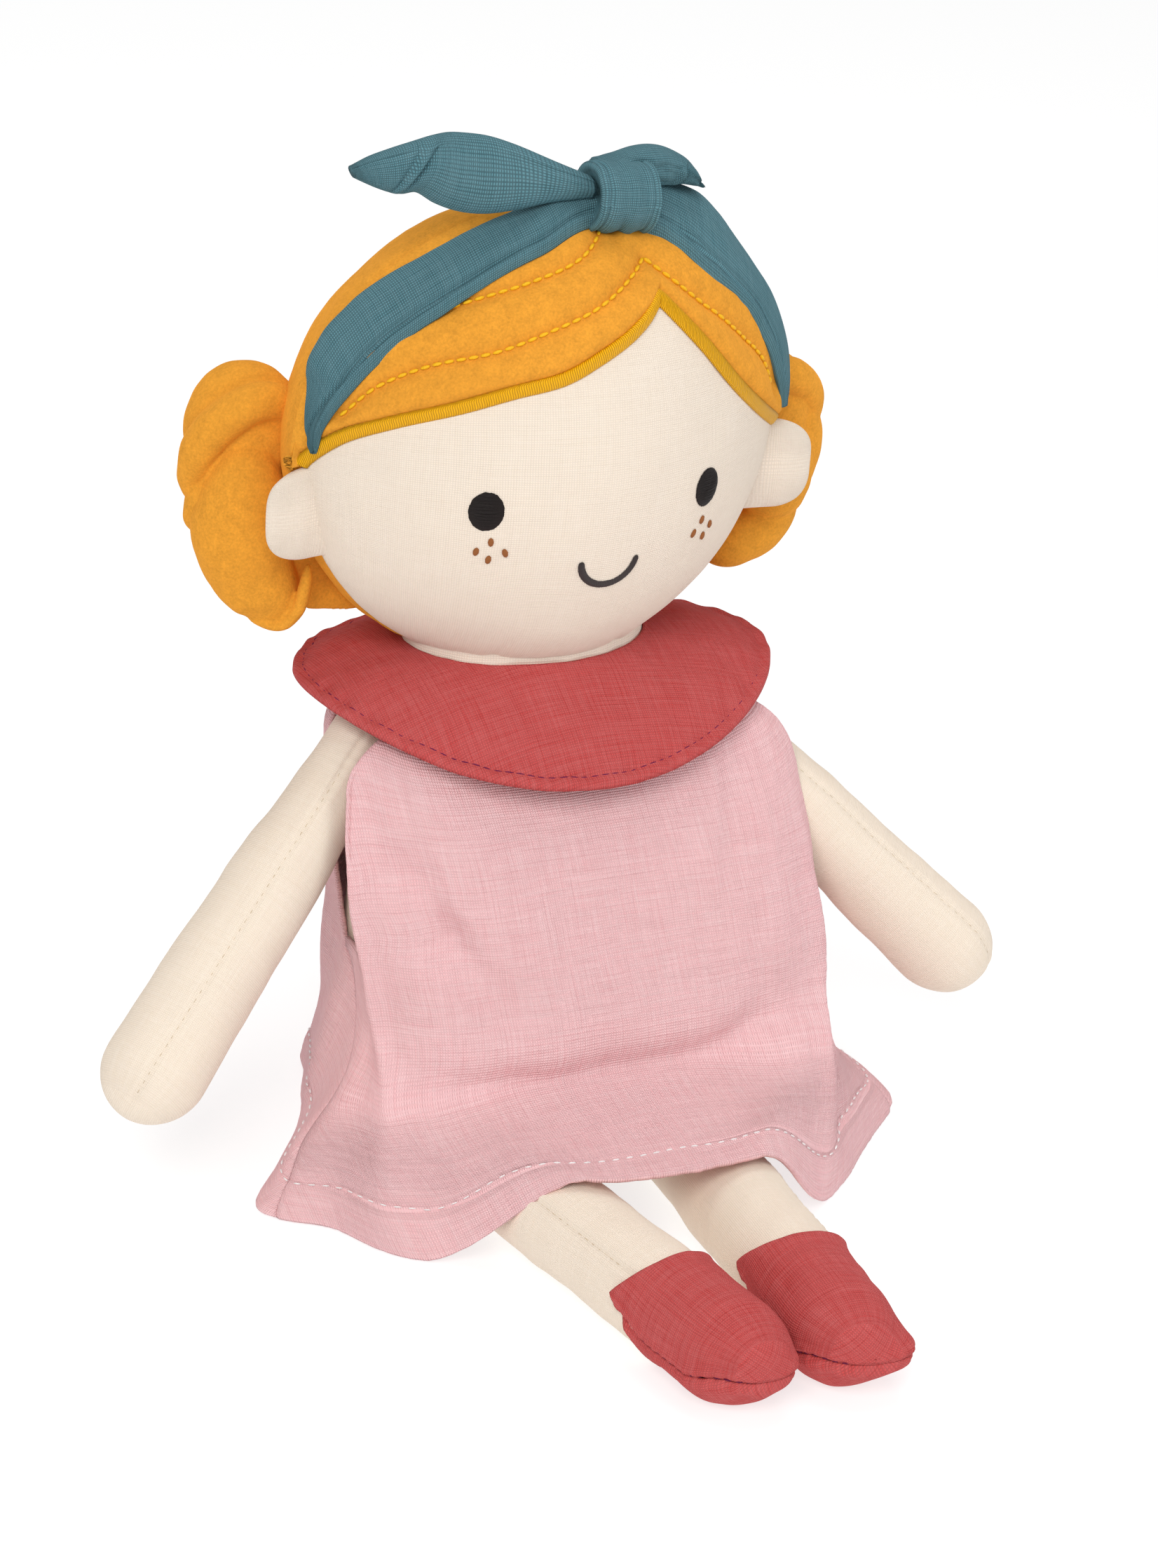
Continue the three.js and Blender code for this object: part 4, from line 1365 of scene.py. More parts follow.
@dataclass
class Ears:
    """Two small stuffed linen half rounds, sewn into the side seams."""

    half_width: float = 15.4
    half_depth: float = 3.0
    half_height: float = 12.4
    aside: float = 59.5
    ahead: float = 1.4
    height: float = 166.0
    square: float = 0.62
    left_extra: tuple[float, float] = (2.0, 1.2)

    def build(self) -> None:
        """Makes both ears."""
        for side in Side:
            further, wider = self.left_extra if side is Side.LEFT else (0.0, 0.0)

            def place(unit: Vector) -> Vector:
                wide = signed_power(unit.x * side.value, self.square) * side.value
                tall = signed_power(unit.z, self.square)
                outward = wide * side.value
                thick = self.half_depth * signed_power(unit.y, 0.8) * mix(0.6, 1.0, ease(outward * 2))
                tall -= 0.10 * max(outward, 0) + 0.10 * max(tall, 0) * max(outward, 0)
                point = Vector(
                    (
                        HEAD.aside + side.value * (self.aside + further) + wide * (self.half_width + wider),
                        HEAD.behind - self.ahead + thick,
                        self.height + tall * self.half_height,
                    )
                )
                return point + Vector((0, -1, 0)) * 0.35 * wobble(point, 5, 4)

            mesh = ball_form(72, 48, place, lambda unit: (unit.x * 24, unit.z * 20))
            piece = finish_piece(mesh, f"ear_{side.label}_linen", SKIN, "head", smoothing=1)
            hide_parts(f"ear_{side.label}")


@dataclass(frozen=True)
class Roll:
    """One roll of a bun, by points outward, behind and above its middle with the roll's radius."""

    rows: tuple[tuple[float, float, float, float], ...]
    flat: float = 0.8
    blunt: float = 2.6


BACK_ROLL = Roll(((-3, 9, 19, 9), (-4, 8, 4, 11.5), (-5, 8.5, -12, 10), (-6, 8, -24, 7)), 0.9, 2.4)


@dataclass
class Buns:
    """Two buns of twisted felt, one on each side of the head."""

    aside: float = 64.0
    behind: float = 20.5
    height: float = 162.0
    facing: Vector = field(default_factory=lambda: Vector((0.43, -0.81, 0.2)))
    voxel: float = 0.45
    left_shift: tuple[float, float] = (7.0, -3.5)
    rolls: tuple[Roll, ...] = (
        Roll(((5.1, 7.2, 16, 12), (4.2, 7.1, -8, 13), (2.4, 5.3, -31, 12)), 0.85, 2.0),
        Roll(((5.3, 7.7, 33.4, 15.4), (5.2, 7.2, 15.6, 15.4), (4.8, 6.4, -1.4, 15.4)), 0.7, 2.0),
        Roll(
            ((19.2, 9, 5.4, 0.9), (19.3, 8.2, 11.8, 1.1), (17.3, 6.2, 18.9, 1.2), (12.9, 3.2, 25.2, 1.2),
             (6.5, 1.6, 29, 1.2), (2, 2, 30.6, 0.9)), 1.0, 6.0,
        ),
        Roll(
            ((-7, 3.4, 9, 3), (-4.2, 0.9, 19.4, 4.2), (0.8, -2.3, 25.6, 4.7), (6.5, -2.4, 26, 5),
             (12.6, 0.4, 21.6, 5.3), (17.5, 3.9, 14, 5.3), (18.9, 6.9, 5.2, 4.6), (17.8, 10.1, -3.6, 3)), 1.0, 4.0,
        ),
        Roll(
            ((1.2, 2.1, 19.8, 4.5), (6.1, 0.6, 11.8, 7.8), (8.1, -0.3, 1.4, 11.2), (8.7, -0.9, -9.2, 12.3),
             (5.3, -1.3, -18.9, 11), (1.0, -3.5, -26.5, 9), (-1.0, -5.5, -33, 6)), 0.8, 5.0,
        ),
        Roll(((15.1, 3.4, 7.8, 2.6), (16.4, 4.2, 0.7, 4.6), (16.8, 5.8, -6.1, 4.5), (15.2, 7.4, -11.5, 3)), 0.8, 3.0),
        Roll(
            ((7.7, -0.3, -26.2, 1.2), (4.5, -4.2, -31, 1.7), (0.1, -7.2, -32.2, 1.8), (-3.4, -9.8, -28.4, 1.8),
             (-5.1, -11.2, -21.6, 1.7), (-5.9, -10.9, -14.9, 1.3)), 1.0, 6.0,
        ),
        Roll(((-8, -2.8, -24, 6.4), (-16.7, -5.1, -26.5, 4.5), (-23.3, -7.4, -28.9, 2.2)), 0.3, 6.0),
        Roll(((-2, 4, -8, 9), (-10, 1, -17, 8.5), (-15, 1, -26, 7)), 0.9, 3.0),
        BACK_ROLL,
    )
    left_rolls: tuple[Roll, ...] = (
        Roll(((4, 7, 12, 12), (4, 7, -6, 13), (2, 5, -22, 10)), 0.85, 2.0),
        Roll(((5, 7.5, 25, 12), (6.5, 6.5, 12, 14.5), (6.5, 5.5, -4, 15)), 0.8, 2.0),
        Roll(
            ((-7, 3.4, 7, 3), (-4.2, 0.9, 15.5, 4.2), (0.8, -2.3, 20.5, 4.7), (6.5, -2.4, 21, 5),
             (12.6, 0.4, 17.5, 5.3), (17, 3.9, 11, 5.3), (18.5, 6.9, 3, 4.6), (17.8, 10.1, -5, 3)), 1.0, 4.0,
        ),
        Roll(((10, 5, 15, 6), (14.5, 5, 5, 8.5), (13.5, 4.5, -7, 8.5), (8, 3, -17, 8)), 0.9, 3.0),
        Roll(((13, 3, -8, 8), (6, 1, -20, 8), (-4, 0, -25, 7.5), (-14, 1, -26, 6)), 0.9, 3.0),
        Roll(
            ((1.2, 2.1, 17, 4.5), (6.1, 0.6, 9, 7.8), (8.1, -0.3, 0, 10), (7, -0.9, -9.2, 11), (1, -1.3, -18, 9)),
            0.8,
            5.0,
        ),
        Roll(((16.4, 3.4, 5, 2), (16.8, 4.2, -2, 3.2), (15, 5.8, -10, 3.2), (11, 6, -18, 2.4)), 0.8, 3.0),
        BACK_ROLL,
    )

    def build_bun(self, side: Side) -> None:
        """Makes one bun.

        Args:
            side: The doll's side.
        """
        outward, back = self.left_shift if side is Side.LEFT else (0.0, 0.0)
        centre = head_spot(side.value * (self.aside + outward), self.behind + back, self.height)

        def place(spot: Vector) -> Vector:
            soft = 0.45 * wobble(spot, 9, 8 + side.value) + 0.2 * wobble(spot, 4, 3)
            spot = spot + spot.normalized() * soft
            return centre + Vector((spot.x * side.value, spot.y, spot.z))

        rolls = self.left_rolls if side is Side.LEFT else self.rolls
        mesh = joined([tube_form(roll.rows, place, self.facing, roll.flat, roll.blunt) for roll in rolls])
        bmesh.ops.recalc_face_normals(mesh, faces=mesh.faces)
        piece = finish_piece(mesh, f"hair_bun_{side.label}_felt", FELT, None)
        merge = piece.modifiers.new("merge", "REMESH")
        merge.mode, merge.voxel_size, merge.use_smooth_shade = "VOXEL", self.voxel * MM, True
        soften = piece.modifiers.new("soften", "SMOOTH")
        soften.factor, soften.iterations = 0.5, 1
        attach(piece, "head")
        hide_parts(f"hair_bun_{side.label}")

    def build(self) -> None:
        """Makes both buns."""
        for side in Side:
            self.build_bun(side)


@dataclass
class Headband:
    """The teal band over the head, with its knot and two loose ends."""

    thickness: float = 1.6
    clear: float = 3.3
    fold_in: float = 2.6
    cut_width: float = 17.0
    front_edge: Pairs = (
        (-3, -4), (3, -5), (14, -9.5), (26.8, -11.9), (33.3, -12.6), (41.5, -14.3), (50.2, -16.3), (57.7, -16.3),
        (64.4, -14.5), (70, -13.5), (86.5, -14), (100, -18.6), (111.7, -19.1), (129.1, -17.9), (142.4, -15),
        (153.3, -12.6), (161.5, -10.4), (167.6, -8.6), (171.9, -7.4), (175.5, -7), (178, -6.4),
    )
    back_edge: Pairs = (
        (-3, 0), (3, 0), (10, 3), (22, 5), (38, 4), (56, 2), (67, 0), (80, 0.5), (85.8, 0.6), (97.2, -3.4),
        (109.2, -4.1), (121.4, -3.6), (137.8, 0.4), (149, 3.4), (152.5, 3.6), (157.3, 3.4),
        (161.5, -0.3), (168, -2.6), (174.8, -4.5), (177.3, -5.9),
    )
    stand_off: Pairs = (
        (-3, 0.5), (8, 1.6), (14, 2.3), (26, 3), (40, 2.9), (47, 4.2), (53, 5.8), (60, 7.5), (68, 7),
        (78, 4.5), (90, 2), (105, 0), (179, 0),
    )
    knot_middle: tuple[float, float, float] = (20.9, 1.6, 243.7)
    knot_half: tuple[float, float, float] = (8.2, 9.4, 8.9)
    knot_tilt: float = 5.0
    strap_share: float = 0.68
    long_upper: Pairs = (
        (14.2, 248.9), (4.8, 253), (-7.3, 258.4), (-14.5, 260.9), (-20.1, 261.9), (-24.7, 262.3), (-28.4, 261.8),
        (-33.8, 260.6), (-40.1, 259.1), (-45.1, 257.7), (-48.6, 256.2), (-50, 255.5),
    )
    long_lower: Pairs = (
        (14, 243.5), (3.2, 243), (-6.2, 241.7), (-14.6, 241.4), (-21.7, 242.6), (-27.8, 245), (-33.1, 248.1),
        (-36.8, 247.9), (-39.5, 248.4), (-42.8, 249.6), (-46.1, 251.1), (-49.1, 252.6),
    )
    short_upper: Pairs = (
        (17.1, 252.4), (21.9, 253.1), (28.3, 254.2), (34.9, 253.9), (40.6, 251.5), (43.6, 249.4), (46.1, 245.1),
        (48.7, 242.9),
    )
    short_lower: Pairs = (
        (16.8, 246), (24, 244.5), (30, 244), (35.8, 243.9), (41.3, 243.7), (44.7, 243), (47, 242.5), (48.2, 242.1),
    )

    def band(self) -> bpy.types.Object:
        """Makes the band, with a fold line along its front edge.

        Returns:
            The piece.
        """

        def place(across: float, down: float) -> Vector:
            turn = mix(1.5, 177.4, across)
            front, back = curve(self.front_edge, turn), curve(self.back_edge, turn)
            width = back - front
            y = mix(front, back, down)
            unit = HEAD.polar(turn, HEAD.tilt_at(turn, y, self.clear))
            crown = math.sin(math.pi * down) ** 0.6
            inside = down * width
            fold = bell(inside - self.fold_in, 0.45) * 1.1
            roll = bell(inside - self.fold_in * 0.4, 1.1) * 0.35
            knot = bell(turn - 78, 22)
            ripple = 0.25 * math.sin(down * 16 + turn * 0.25) * knot
            sag = 0.3 * wobble(Vector((turn * 1.2, y, 0)), 9, 2)
            narrow = ease(width / 6)
            edge = 1.1 * (1 - ease(min(down, 1 - down) / 0.08))
            lift = self.clear + (0.9 * crown - fold + roll + ripple + sag) * narrow - edge + 2.4 * knot * crown
            lift += curve(self.stand_off, turn) * down
            return HEAD.place(unit, lift)

        mesh = grid_form(300, 60, place)
        face_away(mesh, HEAD.middle)
        area = sum(face.calc_area() for face in mesh.faces)
        piece = finish_piece(mesh, "headband_cloth", TEAL, "head", thickness=self.thickness)
        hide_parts("headband")
        LOG.info("headband flat area %.0f square millimetres", area * 1e6)
        return piece

    def knot(self) -> bpy.types.Object:
        """Makes the knot, a strip wound once over the band.

        Returns:
            The piece.
        """
        turn = Matrix.Rotation(math.radians(self.knot_tilt), 3, "Y")
        middle = Vector(self.knot_middle)
        half = Vector(self.knot_half)

        def place(unit: Vector) -> Vector:
            flat = math.hypot(unit.y, unit.z)
            about = math.atan2(unit.z, -unit.y)
            along = math.asin(clamp(unit.x, -1, 1)) / (math.pi / 2)
            past = clamp((abs(along) - self.strap_share) / (1 - self.strap_share))
            wide = math.copysign(
                min(abs(along) / self.strap_share, 1.0) * 0.92 + 0.08 * math.sin(math.pi * past), along
            )
            radius = 1.0 if past <= 0 else math.cos(math.pi / 2 * past)
            x = wide * half.x - math.copysign(2.5 * ease(past * 1.4 - 0.4), along)
            edge = half.x - abs(x)
            roll = 0.35 * bell(edge - 0.9, 0.8) - 0.5 * bell(edge - 2.1, 0.45) * (past <= 0)
            folds = 0.3 * math.sin(x * 1.1 + 0.9 * math.sin(about)) + 0.3 * wobble(Vector((x, about * 9, 0)), 5, 2)
            folds -= 0.5 * bell(x + 2.5 + about * 2.2, 0.7) * bell(about + 0.9, 0.7)
            reach = (roll + folds) * (1 - past) if flat > 1e-6 else 0
            way = Vector((0, -math.cos(about), math.sin(about)))
            oval = 1 - 0.06 * (x / half.x) ** 2
            point = Vector((x, way.y * half.y * radius * oval, way.z * half.z * radius * oval)) + way * reach
            return middle + turn @ point

        mesh = bmesh.new()
        bmesh.ops.create_uvsphere(
            mesh, u_segments=96, v_segments=80, radius=1.0, matrix=Matrix.Rotation(math.pi / 2, 4, "Y")
        )
        layer = mesh.loops.layers.uv.new(CLOTH_MAP)
        for face in mesh.faces:
            face.smooth = True
            centre = face.calc_center_median()
            about = math.atan2(centre.z, centre.y)
            for loop in face.loops:
                here = math.atan2(loop.vert.co.z, loop.vert.co.y)
                here = about + math.remainder(here - about, math.tau)
                loop[layer].uv = (loop.vert.co.x * 9 * MM, here * 9 * MM)
        for vert in mesh.verts:
            vert.co = place(vert.co.copy()) * MM
        piece = finish_piece(mesh, "bow_knot_cloth", TEAL, "head", smoothing=1)
        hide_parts("bow_knot")
        return piece

    def loose_end(
        self,
        name: str,
        node: str,
        edges: tuple[Rows, Rows],
        depth: Callable[[float], float],
        shape: Callable[[float, float, bool], float],
        middle_y: Callable[[float], float],
    ) -> bpy.types.Object:
        """Makes one loose end of the bow, a folded strip with a puffed middle.

        Args:
            name: The piece's name.
            node: The node that it stands for.
            edges: The upper and the lower outline, from the knot to the tip.
            depth: Half the thickness for a share of the length.
            shape: Relief for a share of the length, a share across from -1 to 1, and the front side.
            middle_y: Where the middle lies from front to back for a share of the length.

        Returns:
            The piece.
        """
        upper = spline_of([(x, z, 0) for x, z in edges[0]])
        lower = spline_of([(x, z, 0) for x, z in edges[1]])

        def place(point: Vector) -> Vector:
            share = clamp(point.z)
            radius = math.hypot(point.x, point.y)
            top, low = upper.at(share), lower.at(share)
            centre, half = (top + low) / 2, (top - low) / 2
            across, out = point.x, -point.y
            thick = depth(share)
            edge = math.sqrt(max(1 - across * across, 0)) if radius > 0.5 else 0
            relief = shape(share, across, out < 0) * edge
            y = middle_y(share) + (out * thick if radius > 0.5 else 0) + math.copysign(relief, out) * (radius > 0.5)
            spot = centre + half * across
            return Vector((spot.x, y, spot.y))

        mesh = turned_form(drum(110), 96, place, size=(34.0, 66.0))
        bmesh.ops.recalc_face_normals(mesh, faces=mesh.faces)
        piece = finish_piece(mesh, name, TEAL, "head", smoothing=0)
        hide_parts(node)
        return piece

    def build(self) -> None:
        """Makes the band, its knot and its two ends."""
        self.band()
        self.knot()

        def long_shape(share: float, across: float, front: bool) -> float:
            if not front:
                return 0.4 * wobble(Vector((share * 60, across * 9, 4)), 9, 3)
            past = share - 0.67 + across * 0.07
            seam = -0.9 * bell((1 - across) * 9 - 2, 0.35)
            belly = 1.7 * bell(share - 0.5, 0.2) * (1 - across * across) * (1 - ease((past + 0.09) / 0.07))
            hollow = -2.4 * bell(past + 0.03, 0.04) * (1 - ease((past + 0.012) / 0.02))
            soft = 0.45 * wobble(Vector((share * 60, across * 9, 0)), 8, 2)
            return belly + hollow + 0.6 * ease(past / 0.02) + seam + soft

        self.loose_end(
            "bow_long_cloth",
            "bow_long_end",
            (self.long_upper, self.long_lower),
            lambda s: mix(3.4, 4.8, bell(s - 0.45, 0.22)) * (1 - 0.5 * ease((s - 0.66) / 0.3)),
            long_shape,
            lambda s: 3.0 + 1.0 * s,
        )

        def short_shape(share: float, across: float, front: bool) -> float:
            folds = 0.6 * math.sin(across * 6 + share * 9) * ease(share / 0.3)
            folds += (
                2.0 * bell(share - 0.68, 0.1) * (1 - across * across)
                + 1.2 * bell(share - 0.35, 0.09) * ease(across + 0.4)
            )
            folds -= 1.7 * bell(share - 0.54 - 0.05 * across, 0.025) + 1.3 * bell(share - 0.8 + 0.05 * across, 0.025)
            return folds + 1.0 * wobble(Vector((share * 30, across * 9, 7 if front else 1)), 4.0, 5)

        self.loose_end(
            "bow_short_cloth",
            "bow_short_end",
            (self.short_upper, self.short_lower),
            lambda s: mix(4.4, 5.4, bell(s - 0.6, 0.3)) * (1 - 0.45 * ease((s - 0.75) / 0.25)),
            short_shape,
            lambda s: mix(6.0, 10.0, s),
        )


# The body and the clothes


@dataclass
class Torso:
    """The stuffed body under the dress, and the neck."""

    lean: tuple[float, float] = (10.0, 15.0)
    height: float = 118.0
    levels: tuple[tuple[float, float, float], ...] = (
        (0, 36, 22), (9, 42.3, 28.3), (28, 45, 31), (58, 42.8, 29), (88, 40.5, 27),
        (104, 39.5, 23.5), (117.5, 31, 21),
    )
    neck_half: tuple[float, float] = (32.4, 21.6)
    core_half: tuple[float, float] = (27.0, 19.6)
    neck_foot: float = 112.0
    neck_top: float = 128.0

    def middle(self, z: float) -> Vector:
        """The body's middle at a height."""
        return Vector((self.lean[0] * z / self.height, self.lean[1] * z / self.height, z))

    def cover(self, limbs: Sequence["Limb"]) -> bpy.types.Object:
        """Makes the linen body, hollowed where the limbs are sewn on.

        Args:
            limbs: The arms and legs.

        Returns:
            The piece.
        """
        wide = [(z, half) for z, half, _ in self.levels]
        deep = [(z, half) for z, _, half in self.levels]
        top = self.levels[-1][0]
        profile = [(0.0, 0.0), (0.5, 0.0), (0.8, 0.0)] + [(1.0, i / 60) for i in range(61)] + [(0.6, 1.0), (0.0, 1.0)]

        def place(point: Vector) -> Vector:
            z = mix(0.3, top, clamp(point.z))
            soft = -0.5 + 0.5 * wobble(Vector((point.x * 30, point.y * 20, z)), 14, 2)
            spot = self.middle(z)
            spot.x += point.x * (table(wide, z) + soft)
            spot.y += point.y * (table(deep, z) + soft)
            for limb in limbs:
                spot = limb.clear_of(spot)
            return spot

        mesh = turned_form(profile, 96, place, size=(230.0, 118.0))
        piece = finish_piece(mesh, "torso_linen", SKIN, "torso")
        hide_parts("torso_cover", "torso_stuffing")
        return piece

    def neck_tube(self, name: str, half: tuple[float, float], node: str) -> bpy.types.Object:
        """Makes one round of the neck.

        Args:
            name: The piece's name.
            half: Half its width and half its depth.
            node: The node that it stands for.

        Returns:
            The piece, still without a body.
        """

        def place(point: Vector) -> Vector:
            share = clamp(point.z)
            z = mix(self.neck_foot, self.neck_top, share)
            swell = 0.5 * math.sin(math.pi * share) + 0.25 * wobble(Vector((point.x * 30, point.y * 20, z)), 7, 3)
            return Vector(
                (
                    HEAD.aside + point.x * (half[0] + swell),
                    self.lean[1] + point.y * (half[1] + swell),
                    z,
                )
            )

        mesh = turned_form(drum(16), 96, place, size=(165.0, 16.0))
        piece = finish_piece(mesh, name, SKIN, None)
        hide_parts(node)
        return piece

    def neck(self) -> None:
        """Makes the neck: an outer sleeve and a narrower inner core, both left without a body."""
        sleeve = self.neck_tube("neck_linen", self.neck_half, "neck_cover")
        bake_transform(sleeve)
        core = self.neck_tube("neck_core_linen", self.core_half, "neck_stuffing")
        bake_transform(core)


@dataclass
class Collar:
    """The red cape collar, a ring of doubled linen."""

    inner: tuple[float, float] = (32.4, 22.6)
    inner_height: float = 123.0
    outer_half: float = 64.0
    outer_left: float = 66.5
    reach: float = 45.0
    back: float = 46.0
    asides: tuple[float, float] = (10.0, 13.0)
    behind: float = 15.0
    side_height: float = 114.5
    front_height: float = 97.0
    back_height: float = 112.0
    crown: float = 2.2
    layer: float = 1.8
    stitch_in: float = 3.0

    def surface(self, turn: float, share: float) -> Vector:
        """A point of the collar.

        Args:
            turn: Round the neck from the front, in radians.
            share: From the inner edge to the outer one.

        Returns:
            The point in millimetres.
        """
        ahead = math.cos(turn)
        reach = self.reach if ahead > 0 else self.back
        low = self.front_height if ahead > 0 else self.back_height
        edge = mix(self.side_height, low, ahead * ahead)
        outer = self.outer_left if turn > 0 else self.outer_half
        return Vector(
            (
                mix(self.asides[0], self.asides[1], share) + mix(self.inner[0], outer, share) * math.sin(turn),
                self.behind - mix(self.inner[1], reach, share) * ahead,
                mix(self.inner_height, edge, share) + self.crown * math.sin(math.pi * share) + self.layer,
            )
        )

    def width(self, turn: float) -> float:
        """The collar's width at a turn."""
        return (self.surface(turn, 1) - self.surface(turn, 0)).length

    def point(self, across: float, down: float) -> Vector:
        """The puffed surface, with its stitched edge.

        Args:
            across: The share across the sheet.
            down: The share down it.

        Returns:
            The point, in millimetres.
        """
        turn = (across - 0.5) * math.tau
        width = self.width(turn)
        spot = self.surface(turn, down)
        inside = (1 - down) * width
        roll = 0.75 * bell(inside - 1.3, 1.2) - 0.45 * bell(inside - self.stitch_in, 0.55)
        roll -= 0.8 * bell(inside, 0.5)
        soft = 0.8 * wobble(spot, 15, 4) + 0.3 * wobble(spot, 5, 8)
        ripple = 0.35 * math.sin(turn * 31 + 2 * wobble(spot, 20, 1)) * bell(inside - self.stitch_in, 2.2)
        outward = Vector((math.sin(turn) * 0.5, -math.cos(turn) * 0.6, 0.75)).normalized()
        return spot + outward * (roll + soft + ripple + 0.3)

    def flat(self, across: float, down: float) -> Flat:
        """The cloth map of the ring as it was cut.

        Args:
            across: The share across the sheet.
            down: The share down it.

        Returns:
            The place on the cloth, in millimetres.
        """
        turn = (across - 0.5) * math.tau
        radius = mix(30.0, 30.0 + self.width(turn), down)
        return radius * math.sin(turn), -radius * math.cos(turn)

    def build(self) -> None:
        """Makes the collar and its topstitching."""
        mesh = grid_form(360, 44, self.point, self.flat)
        bmesh.ops.remove_doubles(mesh, verts=mesh.verts, dist=1e-6)
        face_away(mesh, Vector((12, 15, 60)))
        area = sum(face.calc_area() for face in mesh.faces)
        piece = finish_piece(mesh, "collar_cloth", RED, "torso", thickness=self.layer)
        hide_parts("collar")
        LOG.info("collar flat area %.0f square millimetres", area * 1e6)
        line, normals = [], []
        for step in range(541):
            across = step / 540
            turn = (across - 0.5) * math.tau
            down = 1 - self.stitch_in / self.width(turn)
            line.append(self.point(across, down))
            normals.append(surface_normal(self.point, across, down, 0.004))
        normals = [n if n.z > 0 else -n for n in normals]
        seats = seats_along(line, normals, 2.9)
        row = stitch_row(seats, length=2.4, width=0.42, height=0.2)
        stitches = finish_piece(row, "collar_stitches", PURPLE_STITCH, "torso")


@dataclass(frozen=True)
class Ring:
    """One level of the dress, as a rounded rectangle that dips in front and behind."""

    aside: float
    behind: float
    half: float
    ahead: float
    back: float
    side: float
    front: float
    rear: float
    square: float = 4.0
    rear_square: float = 2.4

    def point(self, turn: float, left: int) -> Vector:
        """A point of the ring.

        Args:
            turn: From the front, from 0 to half a turn.
            left: 1 on the doll's left, -1 on its right.

        Returns:
            The point in millimetres.
        """
        ahead = math.cos(turn)
        reach, level = (self.ahead, self.front) if ahead > 0 else (self.back, self.rear)
        power = 2 / (self.square if ahead > 0 or left > 0 else self.rear_square)
        return Vector(
            (
                self.aside + left * self.half * abs(math.sin(turn)) ** power,
                self.behind - reach * signed_power(ahead, power),
                mix(self.side, level, ahead * ahead),
            )
        )


